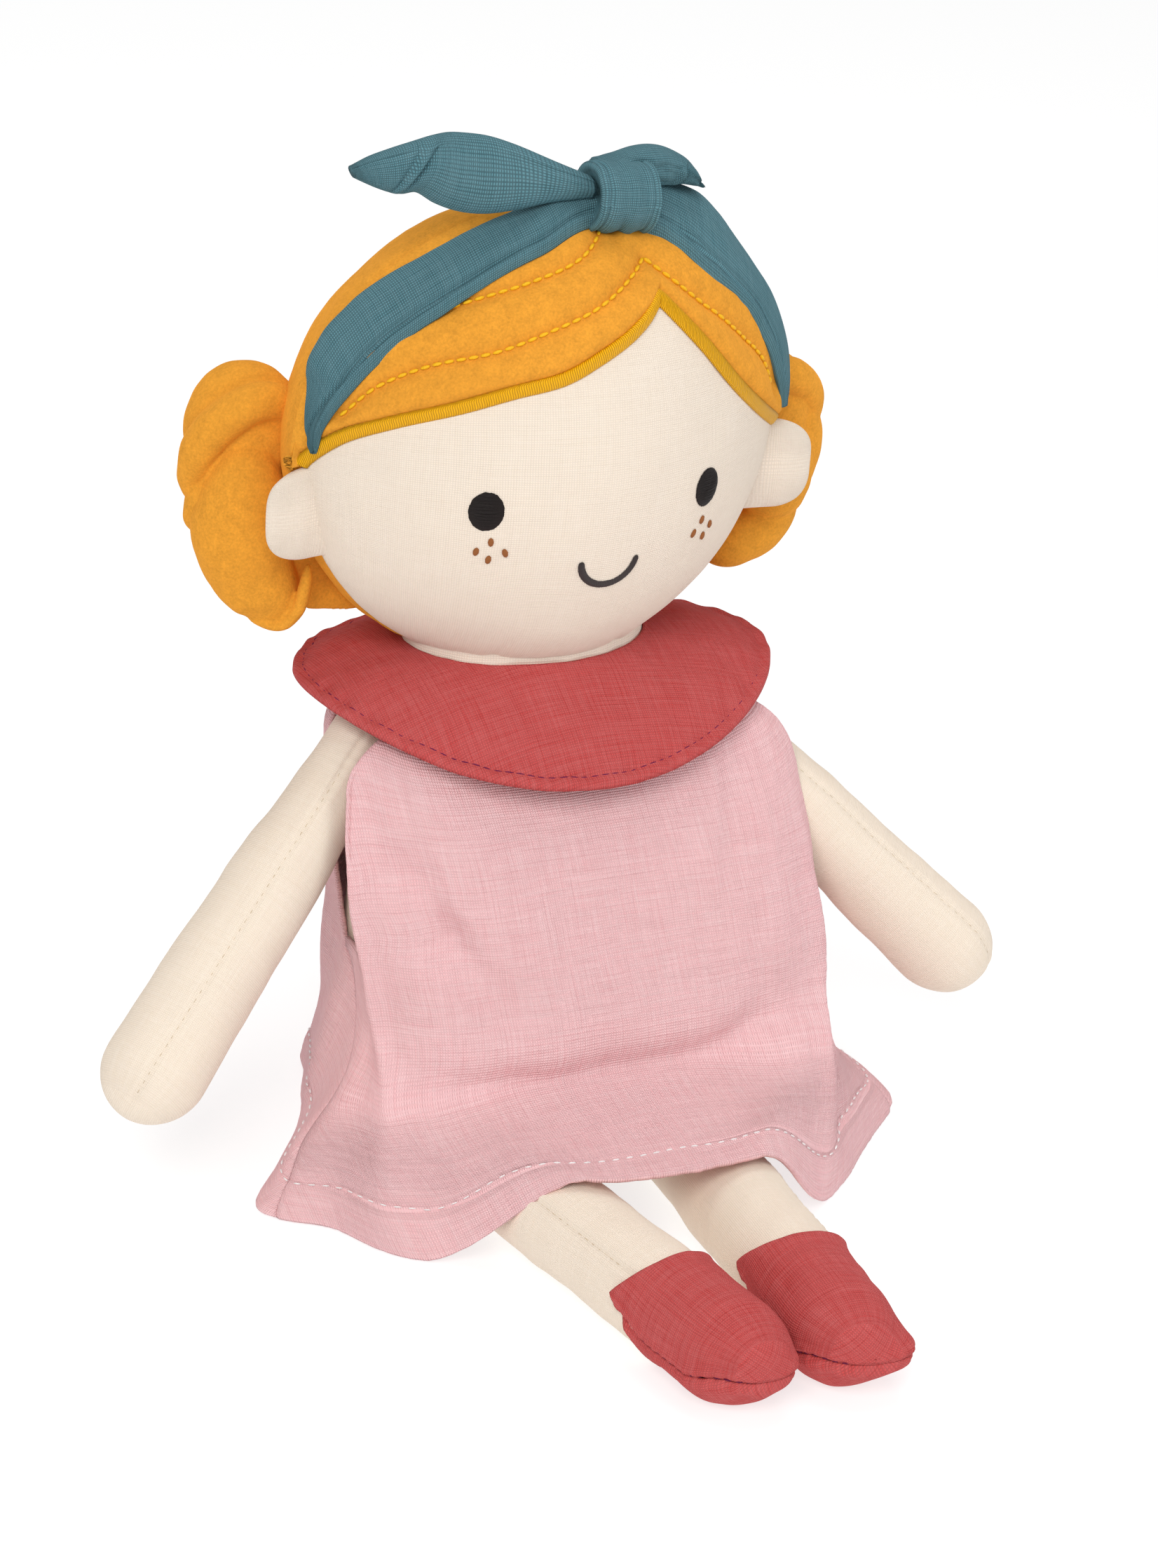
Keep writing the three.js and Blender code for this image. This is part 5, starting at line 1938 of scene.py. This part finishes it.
@dataclass(eq=False)
class Dress:
    """The sleeveless pink dress: a front and a back panel, sewn at the shoulders and the sides."""

    cloth: float = 1.2
    seam_gap: float = 0.0002
    hem_half: float = 93.0
    hem_ahead: float = 102.0
    hem_back: float = 50.0
    hem_aside: float = 9.0
    hem_lift: float = 28.0
    hem_clear: float = 0.7
    lift_from: float = 22.0
    lift_to: float = 56.0
    legs_middle: float = 4.0
    flutes: float = 9.0
    flute_depth: float = 1.6
    band: float = 12.0
    stitch_pitch: float = 3.7
    rings: tuple[Ring, ...] = (
        Ring(9.6, 15, 33, 23.5, 24, 117, 116, 117),
        Ring(13.5, 12, 63, 31, 30, 104, 97, 104),
        Ring(15.5, 7, 68, 38, 33, 80, 80, 80),
        Ring(16, 3, 68.5, 50, 38, 50, 52, 48),
        Ring(13.7, 0, 69, 67, 43, 22, 32.5, 20),
    )
    spreads: tuple[tuple[float, ...], ...] = (
        (0, 0.25, 0.46, 0.62, 0.82, 0.97, 0.83, 0.68, 0.57, 0.32, 0),
        (0, 0.25, 0.46, 0.62, 0.82, 1, 0.99, 0.84, 0.66, 0.35, 0),
    )
    reach: tuple[float, ...] = (-1, -0.98, -0.87, -0.76, -0.58, -0.4, -0.2, 0.1, 0.6, 0.92, 1)
    turns: tuple[float, ...] = (0, 0.09, 0.17, 0.24, 0.31, 0.37, 0.45, 0.53, 0.65, 0.82, 1)
    folds: tuple[tuple[float, ...], ...] = (
        (-48, 96, -40, 80, 5, -1.2), (-40, 80, -33, 66, 6, -3.0), (-33, 66, -20, 52, 6, -3.0),
        (-38, 97, -34, 82, 4, -1.2), (-24, 88, -6, 66, 8, 0.9),
        (58, 98, 50, 76, 5, -1.0), (49, 96, 43, 70, 4, 0.8), (66, 88, 60, 55, 7, 1.0), (22, 94, 25, 66, 6, 0.5),
        (-20, 60, 14, 50, 8, 0.9), (30, 62, 52, 56, 7, -0.7),
    )
    pull: Pairs = (
        (0, 3), (0.1, 6), (0.2, 9), (0.3, 11), (0.75, 11), (0.85, 9), (0.95, 6.5), (1, 5),
    )
    columns: dict[int, Spline] = field(default_factory=dict)
    fine: int = 1200

    @functools.cached_property
    def hems(self) -> list[Spline]:
        """The halves of the hem from the front to the back, each with the turn round the rings as third number.

        Returns:
            The halves.
        """
        halves = []
        for spreads in self.spreads:
            rows = []
            for spread, reach, turn in zip(spreads, self.reach, self.turns):
                deep = self.hem_ahead if reach < 0 else self.hem_back
                rows.append((self.hem_half * spread, deep * reach, math.pi * turn))
            halves.append(spline_of(rows))
        return halves

    def column(self, step: int) -> Spline:
        """The line down the dress at one of the fine steps round it.

        Args:
            step: The fine step round the dress.

        Returns:
            The line.
        """
        step %= self.fine
        if step in self.columns:
            return self.columns[step]
        share = step / self.fine
        left = 1 if share < 0.5 else -1
        half = self.hems[left > 0].at(2 * min(share, 1 - share))
        flute = math.cos(self.flutes * half.z * 2) * self.flute_depth * ease(half.z * 2 / math.pi - 0.5)
        grown = 1 + flute / self.hem_half
        x = left * half.x
        away = abs(self.hem_aside + x - self.legs_middle)
        lift = 1 - ease((away - self.lift_from) / (self.lift_to - self.lift_from)) if half.y < 0 else 0
        foot = Vector((self.hem_aside + x * grown, half.y * grown, self.hem_clear + self.hem_lift * lift))
        line = Spline(tuple([ring.point(half.z, left) for ring in self.rings] + [foot]))
        self.columns[step] = line
        return line

    def bare(self, share: float, down: float) -> Vector:
        """A point of the dress before its folds.

        Args:
            share: The share round the dress.
            down: The share down it.

        Returns:
            The point, in millimetres.
        """
        place = (share % 1.0) * self.fine
        step = int(place)
        return self.column(step).at(down).lerp(self.column(step + 1).at(down), place - step)

    def folded(self, share: float, down: float) -> Vector:
        """A point of the dress with its folds and its crinkled weave.

        Args:
            share: The share round the dress.
            down: The share down it.

        Returns:
            The point, in millimetres.
        """
        spot = self.bare(share, down)
        centre = Vector((14, 8, max(spot.z, 20)))
        out = spot - centre
        out.z *= 0.2
        out.normalize()
        share %= 1.0
        move = self.lap(share, down) + self.corners(share, down)
        if spot.y < 0:
            flat = Vector((spot.x, spot.z, 0))
            for x1, z1, x2, z2, width, height in self.folds:
                away = line_distance([Vector((x1, z1, 0)), Vector((x2, z2, 0))], flat)
                move += height * bell(away, width) if away < 3 * width else 0
        large = 1.1 * wobble(spot, 34, 4) + 0.7 * wobble(spot, 15, 7)
        crinkle = 0.16 * wobble(Vector((spot.x * 2.4, spot.y * 2.4, spot.z * 0.8)), 4.2, 5)
        crinkle += 0.09 * wobble(Vector((spot.x * 2, spot.y * 2, spot.z)), 2.1, 9)
        held = ease(down / 0.12)
        low = ease((1 - down) / 0.05)
        spot.x += curve(self.pull, down) * bell(share - mix(0.645, 0.62, ease((down - 0.6) / 0.2)), 0.075)
        spot.x -= 10.0 * bell(share - 0.725, 0.04) * bell(down - 0.85, 0.1)
        spot = spot + out * ((move + large * mix(0.45, 1, low)) * held + crinkle)
        spot.z = max(spot.z, self.hem_clear + 0.05)
        return spot

    def lap(self, share: float, down: float) -> float:
        """The hollow under the belly and the swell over the lap.

        Args:
            share: The share round the dress.
            down: The share down it.

        Returns:
            How far they move the cloth, in millimetres.
        """
        turn = share if share < 0.5 else share - 1
        line = curve(((-0.3, 0.72), (-0.1, 0.775), (-0.05, 0.785), (0, 0.795), (0.05, 0.735), (0.2, 0.68)), turn)
        wide = bell(turn + 0.032, 0.11)
        hollow = -9.0 * bell(down - line, 0.06) + 1.8 * bell(down - line + 0.14, 0.07)
        return (hollow + 3.6 * bell(down - line - 0.12, 0.06)) * wide

    def corners(self, share: float, down: float) -> float:
        """The ridges down the front's corners and the valleys behind them.

        Args:
            share: The share round the dress.
            down: The share down it.

        Returns:
            How far they move the cloth, in millimetres.
        """
        right = curve(((0, 0.765), (0.4, 0.765), (0.7, 0.775), (0.85, 0.8), (1, 0.835)), down)
        gap = mix(0.05, 0.045, down)
        high = 2.6 + 2.4 * bell(down - 0.38, 0.24)
        move = high * bell(share - right, 0.022) * ease((down - 0.05) / 0.2)
        move -= 2.5 * bell(share - right + gap, 0.02) * ease((down - 0.55) / 0.2)
        left = curve(((0, 0.18), (0.6, 0.17), (0.8, 0.135), (1, 0.12)), down)
        fade = 1 - ease((down - 0.85) / 0.12)
        move += 2.2 * bell(share - left, 0.022) * ease((down - 0.3) / 0.3) * fade
        return move - 4.5 * bell(share - left - 0.04, 0.018) * ease((down - 0.56) / 0.16) * fade

    @functools.lru_cache(maxsize=None)
    def to_hem(self, share: float) -> float:
        """How far the lowest fifth of the dress reaches down its surface, in millimetres."""
        return (self.bare(share, 1.0) - self.bare(share, 0.8)).length

    def armhole(self, down: float) -> float:
        """How open the armhole is, from 0 to 1."""
        share = down / 0.6
        return math.sin(math.pi * share) ** (0.25 if share < 0.5 else 0.4) if 0 < share < 1 else 0.0

    def edges(self, down: float) -> Flat:
        """The shares at which the front panel ends and the back panel starts.

        Args:
            down: The share down the dress.

        Returns:
            The two shares round it.
        """
        seam = curve(((0, 0.34), (0.6, 0.335), (0.8, 0.288), (1, 0.236)), down)
        open_share = self.armhole(down)
        return seam - self.seam_gap - 0.104 * open_share, seam + self.seam_gap + 0.03 * open_share

    def share_at(self, front: bool, across: float, down: float) -> float:
        """The share round the dress at a share across a panel, with even columns but near its sides.

        Args:
            front: Whether it is the front panel.
            across: The share across the panel.
            down: The share down it.

        Returns:
            The share round the dress.
        """
        before, after = self.edges(down)
        way = 2 * across - 1
        still, held, reach = (0.7, 0.2, before) if front else (0.6, 0.11, 0.5 - after)
        far = max(abs(way) - still, 0) / (1 - still)
        share = math.copysign(min(abs(way) / still, 1) * held + far * (reach - held), way)
        return share if front else 0.5 + share

    def level(self, row: float) -> float:
        """The share down the dress for a share of the rows, which crowd at the armhole's two ends."""
        part = row / 0.6
        return 0.6 * (0.08 * part + 0.46 * (1 - math.cos(math.pi * part))) if part < 1 else row

    def panel(self, front: bool) -> bpy.types.Object:
        """Makes one panel.

        Args:
            front: Whether it is the front one.

        Returns:
            The panel.
        """

        def place(across: float, row: float) -> Vector:
            down = self.level(row)
            share = self.share_at(front, across, down)
            spot = self.folded(share, down)
            side = min(across, 1 - across)
            tuck = 0.5 * (1 - ease(side / 0.014))
            hem_in = (1 - down) * 5 * self.to_hem(round(share % 1.0, 3))
            groove = 0.5 * bell(hem_in - self.band, 0.7)
            edge = 0.6 * (1 - ease(hem_in / 1.6)) - 0.3 * ease((self.band - hem_in) / 1.5)
            centre = Vector((14, 8, spot.z + 2))
            return spot + (centre - spot).normalized() * (tuck + groove + edge)

        mesh = grid_form(256 if front else 200, 190, place)
        face_away(mesh, Vector((14, 5, 45)))
        area = sum(face.calc_area() for face in mesh.faces)
        name = "dress_front" if front else "dress_back"
        piece = finish_piece(mesh, f"{name}_cloth", PINK, "torso", thickness=self.cloth)
        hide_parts(name)
        width, length = (2 * self.hem_half * 1.25, 150.0) if front else (2 * self.hem_half, 125.0)
        flat = (width * MM, length * MM)
        clamp(area, 0.3 * flat[0] * flat[1], flat[0] * flat[1])
        LOG.info("%s area %.0f of %.0f square millimetres", name, area * 1e6, width * length)
        return piece

    def hem_stitches(self) -> None:
        """Makes the running stitches that hold the hem's band."""
        line, normals = [], []
        count = 700
        for step in range(count + 1):
            share = step / count
            down = 1 - 0.2 * self.band / max(self.to_hem(round(share % 1.0, 3)), 1)
            line.append(self.folded(share, down))
            normals.append(surface_normal(self.folded, share, down, 0.003))
        middle = Vector((14, 0, 10))
        normals = [n if n.dot(p - middle) > 0 else -n for n, p in zip(normals, line)]
        seats = seats_along([p + n * 0.05 for p, n in zip(line, normals)], normals, self.stitch_pitch)
        row = stitch_row(seats, length=2.0, width=0.4, height=0.3)
        piece = finish_piece(row, "hem_stitches", WHITE_STITCH, "torso")

    def build(self) -> None:
        """Makes both panels and the hem's stitches."""
        self.panel(True)
        self.panel(False)
        self.hem_stitches()


# Arms and legs


@dataclass
class Limb:
    """A stuffed tube of linen with a round root, a round end and one seam along it."""

    name: str
    body: str
    pivot: Vector
    direction: Vector
    seam_way: Vector
    length: float
    root: float
    middle: float
    hand: float
    tip: float
    floor: float = -1e3
    raised: float = 0.0
    seed: float = 1.0
    finish: Finish = LIMB_SKIN

    def radius(self, along: float, grow: float = 0.0) -> float:
        """The limb's radius at a distance from the pivot.

        Args:
            along: The distance, in millimetres.
            grow: How far outside the linen it is taken.

        Returns:
            The radius, in millimetres.
        """
        straight = self.length - self.tip
        if along <= straight:
            share = clamp(along / straight)
            early = mix(self.root, self.middle, ease(share * 2))
            late = mix(self.middle, self.hand, ease(share * 2 - 1))
            return (early if share < 0.5 else late) + grow
        past = clamp((along - straight) / (self.tip + grow))
        return (self.hand + grow) * math.sqrt(max(1 - past * past, 0))

    def profile(self, grow: float = 0.0, rounds: int = 20, count: int = 90) -> list[tuple[float, float]]:
        """The outline from the root to the tip.

        Args:
            grow: How far outside the skin it lies.
            rounds: Points in each round end.
            count: Points along the straight.

        Returns:
            Pairs of radius and distance along.
        """
        root = self.root + grow
        straight = self.length - self.tip
        points = []
        for i in range(rounds):
            angle = math.pi / 2 * i / rounds
            points.append((root * math.sin(angle), -root * math.cos(angle)))
        for i in range(count):
            along = straight * i / count
            points.append((self.radius(along, grow), along))
        for i in range(rounds):
            angle = math.pi / 2 * i / rounds
            points.append(((self.hand + grow) * math.cos(angle), straight + (self.tip + grow) * math.sin(angle)))
        points.append((0.0, straight + self.tip + grow))
        return points

    @functools.cached_property
    def frame(self) -> tuple[Vector, Vector, Vector]:
        """The way to the seam, the way across it and the way along the limb.

        Returns:
            The three ways.
        """
        along = self.direction.normalized()
        seam = (self.seam_way - along * self.seam_way.dot(along)).normalized()
        return seam, along.cross(seam), along

    def spot(self, turn: float, along: float, radius: float) -> Vector:
        """A point at a turn from the seam, a distance along and a radius."""
        seam, across, way = self.frame
        return self.pivot + seam * (math.cos(turn) * radius) + across * (math.sin(turn) * radius) + way * along

    def relief(self, turn: float, along: float, radius: float) -> float:
        """The skin's relief at a turn and a distance along.

        Args:
            turn: Radians from the seam.
            along: The distance from the pivot, in millimetres.
            radius: The limb's radius there.

        Returns:
            How far the skin stands out, in millimetres.
        """
        arc = abs(math.remainder(turn, math.tau)) * radius
        point = Vector((math.cos(turn) * radius, math.sin(turn) * radius, along))
        seam = -0.55 * bell(arc, 0.6) + 0.25 * bell(arc - 1.6, 1.1)
        pucker = 0.16 * math.sin(along * 1.9 + 2 * wobble(point, 9, self.seed)) * bell(arc, 3.0)
        soft = 0.55 * wobble(point, 19, self.seed) + 0.22 * wobble(point, 7, self.seed + 3)
        return seam + pucker + soft

    def place(self, point: Vector) -> Vector:
        """Puts a point of the turned form in place.

        Args:
            point: The point, turned about the Z axis.

        Returns:
            The point in the row frame.
        """
        turn, radius = math.atan2(point.y, point.x), math.hypot(point.x, point.y)
        full = clamp(radius / 6)
        spot = self.spot(turn, point.z, radius + self.relief(turn, point.z, radius) * full)
        under = self.raised * ease((point.z - 14) / 16) * ease((116 - point.z) / 10)
        spot.z = max(spot.z, self.floor + under)
        return spot

    def clear_of(self, point: Vector, gap: float = 0.9) -> Vector:
        """Moves a point out of the room that the limb turns in.

        Args:
            point: The point.
            gap: The room left round the limb, in millimetres.

        Returns:
            The point, moved where it was too near.
        """
        for way, reach in ((self.frame[2], 60.0), (Vector((self.direction.x, 0, self.direction.y)), 40.0)):
            if way.z < -0.6 and self.body.startswith("arm"):
                continue
            share = clamp((point - self.pivot).dot(way.normalized()), 0, reach)
            near = self.pivot + way.normalized() * share
            away = point - near
            need = max(self.root, self.radius(share)) + gap
            if away.length < need:
                point = near + (away.normalized() if away.length > 1e-6 else UP) * need
        return point

    def skin(self, nodes: Sequence[str], last: float | None = None) -> bpy.types.Object:
        """Makes the linen skin.

        Args:
            nodes: What it stands for.
            last: How far along it reaches, where a shoe covers the rest.

        Returns:
            The piece.
        """
        mesh = turned_form(self.profile(), 84, self.place)
        if last is not None:
            cut(mesh, self.pivot + self.frame[2] * last, self.frame[2])
        piece = finish_piece(mesh, f"{self.name}_linen", self.finish, self.body)
        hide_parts(*nodes)
        return piece

    def seam_stitches(self, first: float, last: float) -> bpy.types.Object:
        """Makes the small stitches that show in the seam.

        Args:
            first: Where they start along the limb, in millimetres.
            last: Where they end.

        Returns:
            The piece.
        """
        line, normals = [], []
        for step in range(120):
            along = mix(first, last, step / 119)
            radius = self.radius(along)
            line.append(self.spot(0, along, radius + self.relief(0, along, radius)))
            normals.append(self.frame[0])
        stitches = stitch_row(seats_along(line, normals, 2.7), length=1.3, width=0.34, height=0.12)
        piece = finish_piece(stitches, f"{self.name}_stitches", SKIN_STITCH, self.body)
        return piece


def arm_of(side: Side) -> Limb:
    """Makes an arm's sizes.

    Args:
        side: The doll's side.

    Returns:
        The arm.
    """
    spread, forward = math.radians(42), math.radians(25.5)
    direction = Vector(
        (
            side.value * math.sin(spread),
            -math.cos(spread) * math.sin(forward),
            -math.cos(spread) * math.cos(forward),
        )
    )
    pivot = Vector((side.value * 45 + 10 * 105 / 118, 7.2, 105))
    seam = Vector((side.value * 0.43, -0.81, 0.41))
    label = f"arm_{side.label}"
    return Limb(
        name=label,
        body=label,
        pivot=pivot,
        direction=direction,
        seam_way=seam,
        length=115.7,
        root=8.8,
        middle=11.8,
        hand=13.4,
        tip=15,
        seed=5 + side.value,
    )


@dataclass
class Leg:
    """A leg with its cloth shoe."""

    side: Side
    turn: float
    toe: tuple[float, float]
    toe_pull: tuple[float, float]
    shoe_start: float = 103.7
    slant: float = 0.5
    under_slant: float = 1.0
    sole_seam: float = 8.5
    shoe_proud: float = 0.9
    shoe_cloth: float = 1.2

    @functools.cached_property
    def limb(self) -> Limb:
        """The leg's own sizes.

        Returns:
            The leg as a limb.
        """
        turn = math.radians(self.turn)
        direction = Vector((-self.side.value * math.sin(turn), -math.cos(turn), 0))
        pivot = Vector((self.side.value * 30, -24, 12.3))
        seam = Vector((self.side.value * 0.75, 0, 0.66))
        label = f"leg_{self.side.label}"
        return Limb(
            name=label,
            body=label,
            pivot=pivot,
            direction=direction,
            seam_way=seam,
            length=149,
            root=12.4,
            middle=12.8,
            hand=12.6,
            tip=17,
            floor=0.0,
            raised=2.2,
            seed=11 + self.side.value,
        )

    def past_edge(self, point: Vector) -> float:
        """How far a point lies past the shoe's top edge."""
        away = point - self.limb.pivot
        return away.dot(self.limb.frame[2]) - self.shoe_start - max(self.slant * away.z, -self.under_slant * away.z)

    def bent(self, point: Vector) -> Vector:
        """Moves a point of the shoe up, where the sole's seam rises at the ankle and the toe.

        Args:
            point: The point.

        Returns:
            The point, moved up.
        """
        along = (point - self.limb.pivot).dot(self.limb.frame[2])
        rise = 4.5 * (1 - ease((along - 104) / 14)) + 3.2 * ease((along - 132) / 12)
        near = point.z / self.sole_seam if point.z < self.sole_seam else (25 - point.z) / (25 - self.sole_seam)
        return point + UP * (rise * clamp(near))

    def shoe_place(self, point: Vector) -> Vector:
        """Puts a point of the turned shoe in place.

        Args:
            point: The point, turned about the Z axis.

        Returns:
            The point in the row frame.
        """
        limb = self.limb
        turn, radius = math.atan2(point.y, point.x), math.hypot(point.x, point.y)
        full = clamp(radius / 4)
        bare = limb.spot(turn, point.z, radius)
        seam = bare.z - self.sole_seam
        roll = -1.0 * bell(seam, 0.7) + 0.45 * bell(seam - 2.0, 1.2) + 0.45 * bell(seam + 2.0, 1.2)
        soft = 0.5 * wobble(bare, 13, 3) + 0.25 * wobble(bare, 5, 7)
        pucker = 0.22 * math.sin(point.z * 2.1 + turn * 3) * bell(seam, 2.6)
        lip = 0.45 * bell(self.past_edge(bare) - 1.2, 1.3)
        spot = limb.spot(turn, point.z, radius + (roll + soft + pucker + lip) * full)
        corner = bare - Vector((*self.toe, self.sole_seam))
        spot += Vector((*self.toe_pull, 0)) * math.exp(-(corner.x**2 + corner.y**2) / 81 - corner.z**2 / 25)
        spot.z = max(spot.z, 0.0)
        return spot

    def shoe_part(self, upper: bool) -> bpy.types.Object:
        """Makes the shoe's upper or its sole.

        Args:
            upper: Whether it is the upper.

        Returns:
            The piece.
        """
        limb = self.limb
        mesh = turned_form(limb.profile(self.shoe_proud, rounds=40, count=130), 120, self.shoe_place)
        for slope in (-self.slant, self.under_slant):
            cut(mesh, limb.pivot + limb.frame[2] * self.shoe_start, -(limb.frame[2] + UP * slope))
        if upper:
            cut(mesh, (0, 0, self.sole_seam + 0.1), (0, 0, -1))
        else:
            cut(mesh, (0, 0, self.sole_seam - 0.1), (0, 0, 1))
        for vert in mesh.verts:
            vert.co = self.bent(vert.co / MM) * MM
        part = "upper" if upper else "sole"
        piece = finish_piece(mesh, f"shoe_{part}_{self.side.label}_cloth", RED, limb.body, thickness=self.shoe_cloth)
        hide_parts(f"shoe_{part}_{self.side.label}")
        return piece

    def sole_stitches(self) -> bpy.types.Object:
        """Makes the dark stitches in the seam between sole and upper.

        Returns:
            The piece.
        """
        limb = self.limb
        drop = self.sole_seam - limb.pivot.z
        grow = self.shoe_proud
        last = limb.length - limb.tip + (limb.tip + grow) * math.sqrt(max(1 - (drop / (limb.hand + grow)) ** 2, 0))
        first = self.shoe_start - self.under_slant * drop + 1
        line, normals = [], []
        for way in (1, -1):
            alongs = [mix(first, last, math.sin(math.pi / 2 * i / 60)) for i in range(61)]
            for along in alongs if way > 0 else reversed(alongs):
                radius = limb.radius(along, grow)
                out = math.sqrt(max(radius**2 - drop**2, 0))
                side = limb.frame[2].cross(UP)
                spot = limb.pivot + limb.frame[2] * along + side * (way * out) + UP * drop
                normal = (spot - limb.pivot - limb.frame[2] * min(along, limb.length - limb.tip)).normalized()
                corner = spot - Vector((*self.toe, self.sole_seam))
                spot += Vector((*self.toe_pull, 0)) * math.exp(-(corner.x**2 + corner.y**2) / 81)
                line.append(self.bent(spot - normal * 0.75))
                normals.append(normal)
        piece = finish_piece(
            stitch_row(seats_along(line, normals, 2.6), length=2.1, width=0.5, height=0.3),
            f"sole_stitches_{self.side.label}",
            PURPLE_STITCH,
            limb.body,
        )
        return piece

    def build(self) -> None:
        """Makes the leg and its shoe."""
        label = self.side.label
        self.limb.skin([f"leg_cover_{label}", f"leg_stuffing_{label}"], last=self.shoe_start + 18)
        self.limb.seam_stitches(30, self.shoe_start - 2)
        self.shoe_part(True)
        self.shoe_part(False)
        self.sole_stitches()


@dataclass
class Studio:
    """A plain pale floor, soft light and the camera."""

    camera_place: tuple[float, float, float] = (-0.4845, -0.9523, 0.5663)
    turn: float = -28.0
    rise: float = 24.0
    roll: float = 4.3
    lens: float = 104.65

    def camera(self) -> None:
        """Sets the camera at the photograph's angle."""
        data = bpy.data.cameras.new("camera")
        camera = placed("camera", data)
        data.sensor_fit, data.sensor_width, data.lens = "AUTO", 36.0, self.lens
        data.clip_start, data.clip_end = 0.01, 20.0
        a, e, r = math.radians(self.turn), math.radians(self.rise), math.radians(self.roll)
        back = Vector((math.sin(a) * math.cos(e), -math.cos(a) * math.cos(e), math.sin(e)))
        right = Vector((math.cos(a), math.sin(a), 0))
        over = back.cross(right)
        x = right * math.cos(r) + over * math.sin(r)
        y = over * math.cos(r) - right * math.sin(r)
        turned = Matrix((x, y, back)).transposed().to_4x4()
        camera.matrix_world = Matrix.Translation(Vector(self.camera_place)) @ turned
        bpy.context.scene.camera = camera

    def light(self, name: str, place: Sequence[float], power: float, size: float, tint: Colour) -> None:
        """Adds a soft light that points at the doll.

        Args:
            name: The light's name.
            place: Where it stands, in metres.
            power: In watts.
            size: Width in metres.
            tint: Its colour.
        """
        data = bpy.data.lights.new(name, "AREA")
        data.energy, data.size, data.color = power, size, tint
        lamp = placed(name, data)
        spot = Vector(place)
        lamp.location = spot
        lamp.rotation_euler = (Vector((0, 0, 0.13)) - spot).to_track_quat("-Z", "Y").to_euler()

    def floor(self) -> None:
        """Adds the floor."""
        mesh = bmesh.new()
        bmesh.ops.create_grid(mesh, x_segments=8, y_segments=8, size=4.0)
        data = bpy.data.meshes.new("floor")
        mesh.to_mesh(data)
        mesh.free()
        floor = placed("floor", data)
        material = bpy.data.materials.new("pale_floor")
        material.use_nodes = True
        shader = material.node_tree.nodes["Principled BSDF"]
        shader.inputs["Base Color"].default_value = (0.4, 0.4, 0.4, 1)
        shader.inputs["Roughness"].default_value = 0.9
        shader.inputs["Specular IOR Level"].default_value = 0.0
        shader.inputs["Emission Color"].default_value = (1, 1, 1, 1)
        shader.inputs["Emission Strength"].default_value = 0.7
        data.materials.append(material)

    def build(self) -> None:
        """Sets up the whole studio."""
        self.camera()
        self.floor()
        world = bpy.context.scene.world or bpy.data.worlds.new("studio")
        bpy.context.scene.world = world
        world.use_nodes = True
        world.node_tree.nodes["Background"].inputs["Color"].default_value = (1, 1, 1, 1)
        world.node_tree.nodes["Background"].inputs["Strength"].default_value = 0.35
        self.light("key", (-1.0, -1.3, 1.5), 26.0, 1.1, (1.0, 0.985, 0.96))
        self.light("fill", (1.3, -1.2, 1.0), 9.0, 1.2, (0.98, 0.99, 1.0))
        self.light("top", (0.2, 0.4, 1.8), 10.0, 1.2, (1.0, 1.0, 1.0))
        bpy.context.scene.view_settings.view_transform = "Standard"


def main() -> None:
    """Builds the whole doll and its studio."""
    logging.basicConfig(level=logging.INFO, stream=sys.stdout, format="%(name)s: %(message)s")
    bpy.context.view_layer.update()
    Studio().build()
    arms = [arm_of(side) for side in Side]
    legs = [Leg(Side.RIGHT, 8.6, (1.3, -162), (0, -5)), Leg(Side.LEFT, 4.8, (27, -164), (2.5, -6.5))]
    torso = Torso()
    torso.cover([*arms, *(leg.limb for leg in legs)])
    torso.neck()
    for arm, side in zip(arms, Side):
        arm.skin([f"arm_cover_{side.label}", f"arm_stuffing_{side.label}"])
        arm.seam_stitches(14, arm.length - 4)
    for leg in legs:
        leg.build()
    Dress().build()
    Collar().build()
    Face().build()
    Hair().build()
    Ears().build()
    Buns().build()
    Headband().build()


if __name__ == "__main__":
    main()
